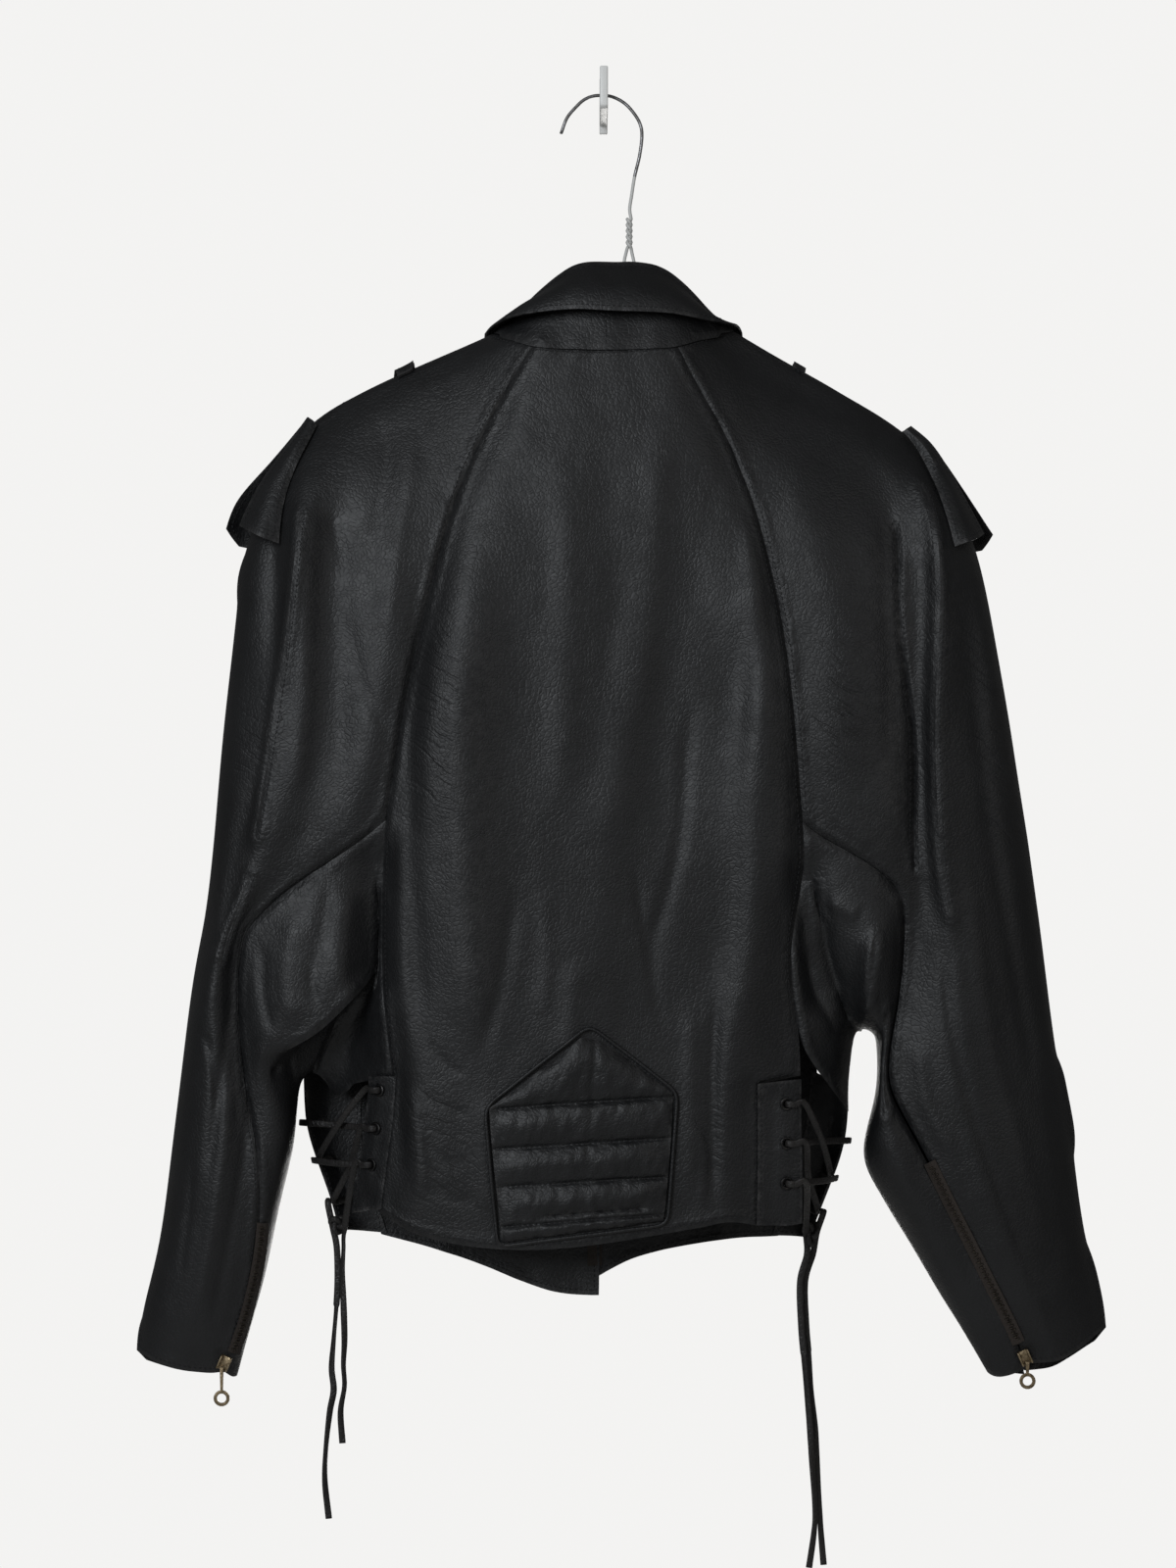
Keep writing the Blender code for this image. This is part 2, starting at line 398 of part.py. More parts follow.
def outer_faces(rows):
    faces = []
    for r in range(len(rows) - 1):
        for c in range(len(rows[0]) - 1):
            faces.append(((r, c), (r, c + 1), (r + 1, c + 1), (r + 1, c)))
    return faces


def key_of(point):
    return tuple(int(round(v * 200000)) for v in point)


class Shell:
    """Outer points of panels that meet, and the normals that they share."""

    def __init__(self):
        self.normals = {}

    def add(self, rows, flip):
        for ids in outer_faces(rows):
            p = [rows[r][c] for r, c in ids]
            n = np.cross(p[2] - p[0], p[3] - p[1])
            if flip:
                n = -n
            for q in p:
                k = key_of(q)
                self.normals[k] = self.normals.get(k, np.zeros(3)) + n

    def normal(self, point):
        n = self.normals[key_of(point)]
        return n / max(np.linalg.norm(n), 1e-12)


def unit(v):
    return v / max(np.linalg.norm(v), 1e-9)


def wall(name, rows, shell, thickness, material, flip, seams):
    """Closed wall under a grid of outer points. seams names the edges that meet others."""
    nr, nc = len(rows), len(rows[0])
    outer = [[np.array(p, float) for p in row] for row in rows]
    normals = [[shell.normal(p) for p in row] for row in rows]
    half = SEAM_GAP / 2
    shift = [[np.zeros(3) for _ in row] for row in rows]
    for r in range(nr):
        for c in range(nc):
            n = normals[r][c]
            for edge, hit, inward in (
                    ("first", c == 0, (r, 1)), ("last", c == nc - 1, (r, nc - 2)),
                    ("top", r == 0, (1, c)), ("bottom", r == nr - 1, (nr - 2, c))):
                if hit and edge in seams:
                    if edge in ("first", "last"):
                        a = rows[max(r - 1, 0)][c]
                        b = rows[min(r + 1, nr - 1)][c]
                    else:
                        a = rows[r][max(c - 1, 0)]
                        b = rows[r][min(c + 1, nc - 1)]
                    side = np.cross(n, unit(b - a))
                    toward = rows[inward[0]][inward[1]] - rows[r][c]
                    if np.dot(side, toward) < 0:
                        side = -side
                    shift[r][c] = shift[r][c] + unit(side) * half
    verts, top, low = [], {}, {}
    for r in range(nr):
        for c in range(nc):
            top[r, c] = len(verts)
            verts.append(outer[r][c] + shift[r][c])
    for r in range(nr):
        for c in range(nc):
            low[r, c] = len(verts)
            verts.append(outer[r][c] + shift[r][c] - normals[r][c] * thickness)
    faces = []
    for (a, b, c, d) in outer_faces(rows):
        quad = [top[a], top[b], top[c], top[d]]
        under = [low[d], low[c], low[b], low[a]]
        faces.append(quad[::-1] if flip else quad)
        faces.append(under[::-1] if flip else under)
    ring = ([(0, c) for c in range(nc)] + [(r, nc - 1) for r in range(1, nr)]
            + [(nr - 1, c) for c in range(nc - 2, -1, -1)] + [(r, 0) for r in range(nr - 2, 0, -1)])
    for i, a in enumerate(ring):
        b = ring[(i + 1) % len(ring)]
        quad = [top[b], top[a], low[a], low[b]]
        faces.append(quad[::-1] if flip else quad)
    return solid(name, verts, faces, material)


def solid(name, verts, faces, material, smooth=True):
    mesh = bpy.data.meshes.new(name)
    mesh.from_pydata([tuple(v) for v in verts], [], faces)
    mesh.validate()
    bm = bmesh.new()
    bm.from_mesh(mesh)
    bmesh.ops.remove_doubles(bm, verts=bm.verts, dist=0.00002)
    bmesh.ops.recalc_face_normals(bm, faces=bm.faces)
    bmesh.ops.triangulate(bm, faces=bm.faces)
    if bm.calc_volume(signed=True) < 0:
        bmesh.ops.reverse_faces(bm, faces=bm.faces)
    bm.to_mesh(mesh)
    bm.free()
    obj = bpy.data.objects.new(name, mesh)
    bpy.context.collection.objects.link(obj)
    mesh.materials.append(material)
    for poly in mesh.polygons:
        poly.use_smooth = smooth
    return obj


def seam_column(column, levels, first, last):
    return [column_at(column, level, first, last) for level in levels]


# The body panels
def leather(name, colour=LEATHER_BLACK, roughness=0.42):
    return make_material(name + "_leather", colour, roughness, 0.0)


BACK_LEVELS = TOP_LEVELS + BODY_LEVELS
back_rows = panel_grid(BACK, BACK_LEVELS, 352, 1255, [2, 1, 2, 2, 2, 1, 2, 1])
left_levels = TOP_LEVELS + LEFT_ARM[1:]
right_levels = TOP_LEVELS + RIGHT_ARM[1:]
SLEEVE_COUNTS = [2, 1, 2, 1, 1, 1, 1, 1, 2]
left_rows = panel_grid(LEFT_SLEEVE, left_levels, 352, 1398, SLEEVE_COUNTS)
right_rows = panel_grid(RIGHT_SLEEVE, right_levels, 352, 1392, SLEEVE_COUNTS)
front_left_rows = panel_grid(FRONT_LEFT, BACK_LEVELS, 352, 1255, [1, 1, 2, 1])
front_right_rows = panel_grid(FRONT_RIGHT, BACK_LEVELS, 352, 1255, [1, 1, 2, 1])


def share_seam(rows, column, edge, levels, own_levels):
    """Give one panel the very points of its neighbour along their seam."""
    for level in levels:
        rows[own_levels.index(level)][column] = edge[level]


left_back_edge = {lv: left_rows[i][0] for i, lv in enumerate(left_levels)}
left_front_edge = {lv: left_rows[i][-1] for i, lv in enumerate(left_levels)}
right_back_edge = {lv: right_rows[i][0] for i, lv in enumerate(right_levels)}
right_front_edge = {lv: right_rows[i][-1] for i, lv in enumerate(right_levels)}
share_seam(back_rows, 0, left_back_edge, TOP_LEVELS, BACK_LEVELS)
share_seam(back_rows, -1, right_back_edge, TOP_LEVELS, BACK_LEVELS)
share_seam(front_left_rows, -1, left_front_edge, TOP_LEVELS, BACK_LEVELS)
share_seam(front_right_rows, -1, right_front_edge, TOP_LEVELS, BACK_LEVELS)


def under_rows(arm, body, arm_levels, back_edge, front_edge, back_side, front_side, counts):
    rows = []
    for level in reversed(arm_levels):
        pts = [back_edge[level]] + [place(*p) for p in arm[level]] + [front_edge[level]]
        rows.append(rounded(pts, counts))
    for level in sorted(body):
        pts = ([back_side[BACK_LEVELS.index(level)]] + [place(*p) for p in body[level]]
               + [front_side[BACK_LEVELS.index(level)]])
        rows.append(rounded(pts, counts))
    return rows


left_under = under_rows(LEFT_UNDER_ARM, LEFT_UNDER_BODY, LEFT_ARM, left_back_edge,
                        left_front_edge, [r[0] for r in back_rows],
                        [r[-1] for r in front_left_rows], [1, 1, 1, 1, 3, 2, 1, 1])
right_under = under_rows(RIGHT_UNDER_ARM, RIGHT_UNDER_BODY, RIGHT_ARM, right_back_edge,
                         right_front_edge, [r[-1] for r in back_rows],
                         [r[-1] for r in front_right_rows], [1, 1, 1, 1, 2, 2, 1, 1])

shell = Shell()
PANELS = [
    ("back_panel", back_rows, True, ("first", "last", "top")),
    ("sleeve_left", left_rows, False, ("first", "last", "top")),
    ("sleeve_right", right_rows, True, ("first", "last", "top")),
    ("front_left", front_left_rows, True, ("last", "top")),
    ("front_right", front_right_rows, False, ("first", "last", "top")),
    ("under_sleeve_left", left_under, False, ("first", "last")),
    ("under_sleeve_right", right_under, True, ("first", "last"))]
for _, rows, flip, _ in PANELS:
    shell.add(rows, flip)
for name, rows, flip, seams in PANELS:
    thick = THIN_LEATHER if name.startswith("under") else LEATHER
    wall(name, rows, shell, thick, leather(name), flip, seams)


# Points that lie on the garment as seen from the back

def surface_of(grids):
    verts, faces = [], []
    for rows in grids:
        base = len(verts)
        nc = len(rows[0])
        verts += [Vector(p) for row in rows for p in row]
        faces += [[base + r * nc + c for r, c in ids] for ids in outer_faces(rows)]
    return BVHTree.FromPolygons(verts, faces)


BACK_SURFACE = surface_of([back_rows, left_rows, right_rows, left_under, right_under])


def seen_on(surface, across, down, lift):
    """Point of the garment behind a sheet position, moved out by a lift in metres."""
    normal = Vector()
    hit = None
    for da, dd in ((0, 0), (5, 0), (-5, 0), (0, 5), (0, -5)):
        aim = Vector(place(across + da, down + dd, SHEET_DEPTH * 1000))
        spot, n, _, _ = surface.ray_cast(VIEW, (aim - VIEW).normalized())
        if spot is None:
            continue
        if hit is None:
            hit = spot
        normal += n if n.dot(aim - VIEW) < 0 else -n
    normal.normalize()
    return np.array(hit + normal * lift)


def two_skins(name, outer, inner, material):
    """Closed body between an outer and an inner grid of points."""
    nr, nc = len(outer), len(outer[0])
    verts = [p for row in outer for p in row] + [p for row in inner for p in row]
    half = nr * nc
    faces = []
    for ids in outer_faces(outer):
        quad = [r * nc + c for r, c in ids]
        faces.append(quad)
        faces.append([half + i for i in quad[::-1]])
    ring = ([(0, c) for c in range(nc)] + [(r, nc - 1) for r in range(1, nr)]
            + [(nr - 1, c) for c in range(nc - 2, -1, -1)] + [(r, 0) for r in range(nr - 2, 0, -1)])
    for i, a in enumerate(ring):
        b = ring[(i + 1) % len(ring)]
        a, b = a[0] * nc + a[1], b[0] * nc + b[1]
        faces.append([b, a, half + a, half + b])
    return solid(name, verts, faces, material)


def lone_wall(name, rows, thickness, material, flip, seams=()):
    own = Shell()
    own.add(rows, flip)
    return wall(name, rows, own, thickness, material, flip, seams), own


def closed_tube(name, points, radius, sides, material):
    """Ring of tube through a closed run of points."""
    n = len(points)
    verts, faces = [], []
    for i, p in enumerate(points):
        along = Vector(points[(i + 1) % n] - points[i - 1]).normalized()
        out = Vector((0, -1, 0))
        side = along.cross(out).normalized()
        out = side.cross(along).normalized()
        for k in range(sides):
            a = 2 * math.pi * k / sides
            verts.append(Vector(p) + side * math.cos(a) * radius + out * math.sin(a) * radius)
    for i in range(n):
        j = (i + 1) % n
        for k in range(sides):
            m = (k + 1) % sides
            faces.append([i * sides + k, i * sides + m, j * sides + m, j * sides + k])
    return solid(name, verts, faces, material)


# Quilted patch at the waist
PATCH_ROOF = [(500, 1131), (552, 1092), (602, 1052), (645, 1085), (687, 1116)]
PATCH_SEAMS = [(1133, 1118), (1173, 1160), (1212, 1200), (1245, 1231), (1268, 1246)]
PATCH_SIDES = [(500, 687), (503, 685), (507, 682), (511, 679), (513, 677)]
PATCH_COLUMNS = 8


def patch_position(row, u):
    """Sheet position in the patch. Rows count the quilt seams from the first."""
    i = min(int(row), 3)
    t = row - i
    ends = [(PATCH_SIDES[k][0] + (PATCH_SIDES[k][1] - PATCH_SIDES[k][0]) * u,
             PATCH_SEAMS[k][0] + (PATCH_SEAMS[k][1] - PATCH_SEAMS[k][0]) * u) for k in (i, i + 1)]
    return tuple(ends[0][k] * (1 - t) + ends[1][k] * t for k in (0, 1))


def roof_down(across):
    for (a0, d0), (a1, d1) in zip(PATCH_ROOF, PATCH_ROOF[1:]):
        if across <= a1:
            return d0 + (d1 - d0) * (across - a0) / (a1 - a0)
    return PATCH_ROOF[-1][1]


def build_patch():
    outer, inner = [], []
    steps = [("roof", t) for t in (0, 1 / 3, 2 / 3)]
    steps += [("quilt", k + t) for k in range(4) for t in (0, 1 / 3, 2 / 3)] + [("quilt", 4.0)]
    for kind, t in steps:
        top, low = [], []
        for c in range(PATCH_COLUMNS + 1):
            u = c / PATCH_COLUMNS
            across, down = patch_position(0.0 if kind == "roof" else t, u)
            phase = t if kind == "roof" else t - int(t)
            if kind == "roof":
                roof = min(roof_down(across), down - 2)
                rise = min(1.0, (down - roof) / 30)
                down = roof + (down - roof) * t
            else:
                rise = 1.0
            swell = QUILT_RISE * (1 if 0.1 < phase < 0.9 else 0.15) * rise
            if c in (0, PATCH_COLUMNS) or (kind == "roof" and t == 0):
                swell = 0.0004
            low.append(seen_on(BACK_SURFACE, across, down, 0.0006))
            top.append(seen_on(BACK_SURFACE, across, down, 0.0006 + 0.0012 + swell))
        outer.append(top)
        inner.append(low)
    two_skins("waist_patch", outer, inner, leather("waist_patch", LEATHER_DARK, 0.40))


def build_piping():
    grow = 4.5
    corners = [(500 - grow, 1130), (602, 1052 - grow - 1), (687 + grow, 1115),
               (677 + grow, 1246 + 4), (513 - grow, 1268 + 4)]
    points = []
    for (a0, d0), (a1, d1), steps in zip(corners, corners[1:] + corners[:1], (8, 7, 8, 9, 8)):
        for k in range(steps):
            t = k / steps
            points.append(seen_on(BACK_SURFACE, a0 + (a1 - a0) * t, d0 + (d1 - d0) * t, 0.0022))
    closed_tube("patch_piping", points, 0.0015, 6, leather("patch_piping", LEATHER_DARK, 0.38))


# Collar: base of the stand on the neck seam, its top, and the free edge of the fall
COLLAR = [
    ((606, 418, 14), (604, 406, 16), (602, 462, 9)),
    ((580, 400, 14), (580, 387, 16), (562, 455, 8)),
    ((548, 380, 17), (550, 364, 20), (514, 436, 8)),
    ((520, 356, 28), (525, 342, 32), (492, 392, 12)),
    ((507, 343, 42), (513, 335, 45), (495, 341, 37)),
    ((503, 341, 52), (512, 333, 54), (500, 334, 54)),
    ((509, 342, 60), (523, 327, 61), (505, 330, 69)),
    ((524, 346, 74), (546, 305, 69), (522, 323, 85)),
    ((545, 352, 84), (568, 287, 73), (553, 318, 94)),
    ((580, 354, 85), (591, 273, 75), (586, 315, 97)),
    ((621, 355, 86), (628, 272, 76), (620, 317, 98)),
    ((657, 354, 85), (664, 273, 75), (656, 318, 97)),
    ((691, 352, 84), (684, 282, 73), (690, 320, 94)),
    ((711, 346, 74), (709, 305, 69), (722, 327, 85)),
    ((737, 342, 60), (730, 327, 61), (748, 330, 69)),
    ((750, 339, 52), (741, 331, 54), (755, 332, 54)),
    ((745, 341, 42), (739, 334, 45), (758, 340, 37)),
    ((733, 356, 28), (728, 342, 32), (762, 392, 12)),
    ((705, 377, 17), (703, 363, 20), (738, 436, 8)),
    ((668, 386, 16), (668, 373, 18), (697, 450, 8)),
    ((637, 400, 14), (637, 387, 16), (655, 455, 8)),
    ((609, 418, 14), (611, 406, 16), (613, 462, 9))]


def build_collar():
    steps = [1, 1, 1, 1, 1, 1, 2, 2, 2, 2, 2, 2, 2, 2, 1, 1, 1, 1, 1, 1, 1]
    base = rounded([place(*k[0]) for k in COLLAR], steps)
    top = rounded([place(*k[1]) for k in COLLAR], steps)
    edge = rounded([place(*k[2]) for k in COLLAR], steps)
    rows = []
    for t in (0.0, 0.5, 1.0):
        rows.append([b + (p - b) * t + unit(p - b) * 0.0012 * (1 - t)
                     for b, p in zip(base, top)])
    stand, own = lone_wall("collar_stand", rows, DOUBLED, leather("collar_stand"), False)
    fall = [[] for _ in range(8)]
    for i, tip in enumerate(rows[-1]):
        out = own.normal(tip)
        roll = rows[-1][min(i + 1, len(base) - 1)] - rows[-1][max(i - 1, 0)]
        up = unit(np.cross(roll, out))
        up = up if up[2] > 0 else -up
        mid = tip - out * DOUBLED / 2
        hem = edge[i]
        span = hem - (mid + out * 0.0034 - up * 0.0024)
        profile = [mid - out * 0.0024 + up * 0.0014, mid - out * 0.0010 + up * 0.0028,
                   mid + out * 0.0010 + up * 0.0030, mid + out * 0.0027 + up * 0.0012,
                   mid + out * 0.0034 - up * 0.0024]
        bulge = out * 0.16 * np.linalg.norm(span)
        profile += [profile[-1] + span * t + bulge * math.sin(math.pi * t)
                    for t in (0.4, 0.75, 1.0)]
        for row, p in zip(fall, profile):
            row.append(p)
    lone_wall("collar_fall", fall, LEATHER, leather("collar_fall"), True)


# Shoulder caps: leaves of leather that hang over the sleeve heads
CAPS = {
    "cap_back_left": (False, [
        [(322, 431, 57), (318, 428, 54), (314, 426, 50)],
        [(307, 456, 66), (301, 453, 63), (297, 450, 57)],
        [(291, 490, 75), (279, 490, 72), (267, 489, 63)],
        [(282, 525, 83), (265, 525, 80), (249, 525, 67)],
        [(277, 553, 88), (262, 546, 86), (245, 537, 70)]]),
    "cap_front_left": (True, [
        [(323, 432, 34), (319, 429, 37), (315, 426, 42)],
        [(315, 456, 32), (304, 453, 32), (295, 450, 37)],
        [(305, 487, 27), (285, 484, 29), (271, 479, 34)],
        [(295, 522, 24), (262, 517, 26), (240, 510, 32)],
        [(285, 562, 21), (244, 558, 25), (231, 540, 34)]]),
    "cap_back_right": (True, [
        [(923, 439, 56), (927, 437, 53), (930, 435, 49)],
        [(942, 458, 62), (948, 456, 59), (953, 454, 53)],
        [(955, 482, 70), (963, 481, 66), (969, 479, 57)],
        [(966, 512, 79), (978, 510, 74), (985, 507, 60)],
        [(981, 555, 89), (996, 551, 82), (1005, 545, 64)]]),
    "cap_front_right": (False, [
        [(921, 441, 35), (926, 438, 38), (930, 436, 43)],
        [(932, 464, 32), (945, 460, 34), (953, 456, 39)],
        [(940, 490, 28), (958, 486, 31), (971, 481, 36)],
        [(952, 522, 25), (976, 516, 28), (989, 508, 34)],
        [(962, 566, 21), (1003, 562, 25), (1014, 546, 34)]])}

# Shoulder straps: only the end that stands over the shoulder line shows
STRAPS = {
    "shoulder_strap_left": (True, [
        [(402, 401, 29), (425, 392, 29)], [(402, 388, 34), (424, 379, 34)],
        [(403, 378, 43), (422, 368, 43)], [(404, 378, 50), (421, 370, 50)],
        [(406, 384, 55), (421, 377, 55)]]),
    "shoulder_strap_right": (True, [
        [(806, 391, 28), (820, 398, 28)], [(808, 378, 33), (821, 385, 33)],
        [(811, 369, 43), (823, 376, 43)], [(812, 370, 50), (824, 377, 50)]])}


def rest_on(surface, point, lift):
    """Nearest point of the garment, moved out by a lift in metres."""
    spot, normal, _, _ = surface.find_nearest(Vector(point))
    if normal.dot(Vector(point) - spot) < 0:
        normal = -normal
    return np.array(spot + normal * lift)


def build_caps():
    for name, (flip, net) in CAPS.items():
        across = [rounded([place(*p) for p in row], [2, 2]) for row in net]
        rows = list(map(list, zip(*[rounded(list(line), [2, 1, 1, 1]) for line in zip(*across)])))
        for row in rows:
            row[0] = rest_on(BACK_SURFACE, row[0], LEATHER + 2 * SEAM_GAP)
        lone_wall(name, rows, LEATHER, leather(name), flip)
    for name, (flip, net) in STRAPS.items():
        rows = [[place(*p) for p in row] for row in net]
        rows[-1] = [rest_on(BACK_SURFACE, p, DOUBLED + SEAM_GAP) for p in rows[-1]]
        lone_wall(name, rows, DOUBLED, leather(name), flip)


# Eyelet strips at the side vents, from the stitched edge to the free edge
STRIPS = {
    "eyelet_strip_back_left": (False, [
        [(1103, 400, 85), (1145, 397, 85), (1185, 391, 84), (1234, 385, 82)],
        [(1103, 389, 80), (1145, 385, 80), (1185, 380, 79), (1236, 373, 77)],
        [(1103, 377, 71), (1145, 373, 71), (1185, 367, 70), (1238, 359, 68)]]),
    "eyelet_strip_back_right": (True, [
        [(1110, 778, 92), (1145, 778, 92), (1185, 778, 92), (1250, 777, 90)],
        [(1108, 798, 91), (1145, 798, 91), (1185, 798, 91), (1252, 798, 89)],
        [(1106, 818, 87), (1145, 818, 87), (1185, 819, 87), (1249, 819, 85)]]),
    "eyelet_strip_front_left": (True, [
        [(1107, 364, 11), (1145, 361, 12), (1185, 367, 13), (1222, 377, 14), (1258, 389, 15)],
        [(1088, 334, 14), (1145, 334, 14), (1185, 343, 15), (1222, 356, 16), (1256, 366, 17)],
        [(1092, 310, 30), (1145, 312, 30), (1185, 324, 30), (1222, 338, 30), (1255, 346, 30)]]),
    "eyelet_strip_front_right": (False, [
        [(1092, 835, 11), (1145, 831, 12), (1185, 821, 13), (1222, 809, 14), (1261, 795, 15)],
        [(1107, 853, 14), (1160, 850, 14), (1185, 843, 15), (1222, 829, 16), (1262, 813, 17)],
        [(1129, 866, 30), (1160, 864, 30), (1185, 857, 30), (1222, 843, 30), (1264, 826, 30)]])}
EYELETS = {
    "eyelet_strip_back_left": [1113, 1152, 1189],
    "eyelet_strip_back_right": [1127, 1167, 1208],
    "eyelet_strip_front_left": [1146, 1184, 1226],
    "eyelet_strip_front_right": [1164, 1202, 1236]}
EYELET_AT = {"eyelet_strip_back_left": 0.50, "eyelet_strip_back_right": 0.62,
             "eyelet_strip_front_left": 0.62, "eyelet_strip_front_right": 0.62}


def strip_point(name, level, share):
    columns = STRIPS[name][1]
    pts = [column_at(c, level, -1e4, 1e4) for c in columns]
    line = rounded(pts, [8, 8])
    k = min(max(share, 0.0), 1.0) * 16
    i = min(int(k), 15)
    return line[i] + (line[i + 1] - line[i]) * (k - i)


def strip_frame(name, level, share):
    """Point on a strip with its outward normal and the direction to the free edge."""
    p = strip_point(name, level, share)
    outward = unit(strip_point(name, level, min(share + 0.1, 1)) -
                   strip_point(name, level, max(share - 0.1, 0)))
    low, high = STRIPS[name][1][1][0][0], STRIPS[name][1][1][-1][0]
    a, b = max(level - 8, low), min(level + 8, high)
    along = unit(strip_point(name, b, share) - strip_point(name, a, share))
    normal = unit(np.cross(outward, along))
    facing = 1 if "front" in name else -1
    if normal[1] * facing < 0:
        normal = -normal
    return p, normal, outward


def cut_holes(obj, spots):
    """Bore round holes through a thin piece at the spots given with their normals."""
    for centre, normal in spots:
        bm = bmesh.new()
        bmesh.ops.create_cone(bm, cap_ends=True, segments=10, radius1=EYELET_HOLE / 2,
                              radius2=EYELET_HOLE / 2, depth=0.012)
        turn = Vector((0, 0, 1)).rotation_difference(Vector(normal)).to_matrix().to_4x4()
        bmesh.ops.transform(bm, matrix=turn, verts=bm.verts)
        bmesh.ops.translate(bm, vec=Vector(centre), verts=bm.verts)
        mesh = bpy.data.meshes.new("cutter")
        bm.to_mesh(mesh)
        bm.free()
        cutter = bpy.data.objects.new("cutter", mesh)
        cutter.hide_render = True
        cutter.display_type = "WIRE"
        bpy.context.collection.objects.link(cutter)
        mod = obj.modifiers.new("hole", "BOOLEAN")
        mod.operation = "DIFFERENCE"
        mod.solver = "EXACT"
        mod.object = cutter
        bpy.context.view_layer.update()
        done = bpy.data.meshes.new_from_object(
            obj.evaluated_get(bpy.context.evaluated_depsgraph_get()))
        obj.modifiers.clear()
        obj.data = done
        bpy.data.objects.remove(cutter, do_unlink=True)
    bm = bmesh.new()
    bm.from_mesh(obj.data)
    bmesh.ops.remove_doubles(bm, verts=bm.verts, dist=0.00005)
    bmesh.ops.triangulate(bm, faces=bm.faces)
    bm.to_mesh(obj.data)
    bm.free()
    for poly in obj.data.polygons:
        poly.use_smooth = False


def build_strips():
    for name, (flip, columns) in STRIPS.items():
        low, high = columns[1][0][0], columns[1][-1][0]
        rows = []
        for t in (0, 0.16, 0.33, 0.5, 0.67, 0.84, 1.0):
            level = low + (high - low) * t
            pts = []
            for c in columns:
                down = c[0][0] + (c[-1][0] - c[0][0]) * t
                pts.append(column_at(c, down, -1e4, 1e4))
            rows.append(rounded(pts, [1, 2]))
        obj, _ = lone_wall(name, rows, DOUBLED, leather(name), flip)
        spots = []
        for number, level in enumerate(EYELETS[name]):
            p, n, _ = strip_frame(name, level, EYELET_AT[name])
            spots.append((p - n * DOUBLED / 2, n))
            if "back" in name:
                build_eyelet(name.replace("eyelet_strip_back", "eyelet") + "_%d" % (number + 1),
                             p + n * 0.00045, n)
        cut_holes(obj, spots)


def build_eyelet(name, centre, normal):
    segments = 10
    verts, faces = [], []
    x = unit(np.cross(normal, (0, 0, 1)))
    y = np.cross(normal, x)
    for k in range(segments):
        a = 2 * math.pi * k / segments
        d = x * math.cos(a) + y * math.sin(a)
        for radius, height in ((EYELET_HOLE / 2 + 0.0001, 0), (EYELET_OUTER / 2, 0),
                               (EYELET_OUTER / 2 - 0.0004, 0.0007),
                               (EYELET_HOLE / 2 + 0.0003, 0.0008)):
            verts.append(centre + d * radius + normal * height)
    for k in range(segments):
        j = (k + 1) % segments
        for m in range(4):
            q = (m + 1) % 4
            faces.append([k * 4 + m, k * 4 + q, j * 4 + q, j * 4 + m])
    solid(name, verts, faces, make_material(name + "_metal", EYELET_METAL, 0.35, 0.9))


# Laces
HANGING = {
    "left": ([(352, 1254, 38), (351, 1275, 38), (350, 1300, 38), (351, 1329, 38),
              (352, 1367, 38), (351, 1393, 38), (352, 1415, 38), (348, 1441, 38),
              (350, 1473, 38)],
             [(340, 1252, 33), (344, 1272, 33), (345, 1300, 33), (344, 1329, 33),
              (341, 1367, 33), (339, 1396, 33), (341, 1419, 33), (337, 1441, 33),
              (333, 1479, 33), (332, 1511, 33), (336, 1550, 33)]),
    "right": ([(823, 1256, 42), (824, 1280, 41), (817, 1308, 40), (818, 1352, 40),
               (821, 1387, 40), (824, 1421, 40), (827, 1456, 40), (829, 1490, 40),
               (832, 1542, 40), (831, 1565, 40), (826, 1600, 40)],
              [(834, 1258, 34), (830, 1280, 34), (822, 1308, 34), (823, 1352, 34),
               (826, 1387, 34), (828, 1421, 34), (832, 1456, 34), (834, 1490, 34),
               (837, 1542, 34), (838, 1562, 34), (841, 1597, 34)])}


def through(name, level, outward_first):
    """Route of a lace through an eyelet, from the free edge and back to it."""
    share = EYELET_AT[name]
    p, n, e = strip_frame(name, level, share)
    mid, n_mid, _ = strip_frame(name, level, (share + 1) / 2)
    edge, n_edge, e_edge = strip_frame(name, level, 1.0)
    over = [edge + e_edge * 0.0028 + n_edge * 0.0012, mid + n_mid * 0.0030,
            p + e * 0.0010 + n * 0.0030]
    hole = [p - n * DOUBLED / 2]
    under = [p + e * 0.0010 - n * (DOUBLED + 0.0030), mid - n_mid * (DOUBLED + 0.0030),
             edge + e_edge * 0.0022 - n_edge * (DOUBLED + 0.0018)]
    run = over + hole + under
    return run if outward_first else run[::-1]


def crossing(start, end, side, shift):
    """Middle of a run across the vent, kept to one side of the run that it crosses."""
    outward = np.array((-0.6 if side == "left" else 0.6, -0.8, 0.0))
    return [(start + end) / 2 + outward * shift]


def lace_routes(side):
    """The two halves of one side's lace, from the free end up to the bar at the top."""
    back = "eyelet_strip_back_" + side
    front = "eyelet_strip_front_" + side
    b, f = EYELETS[back], EYELETS[front]
    routes = []
    for hanging, stops, shift in (
            (HANGING[side][0], ((back, b[2]), (front, f[1]), (back, b[0])), 0.0038),
            (HANGING[side][1], ((front, f[2]), (back, b[1]), (front, f[0])), -0.0038)):
        route = [place(*p) for p in hanging[::-1]]
        for number, (strip, level) in enumerate(stops):
            run = through(strip, level, True)
            if number:
                route += crossing(route[-1], run[0], side, shift)
            route += run[:5] if number == 2 else run
        routes.append(route)
    return routes


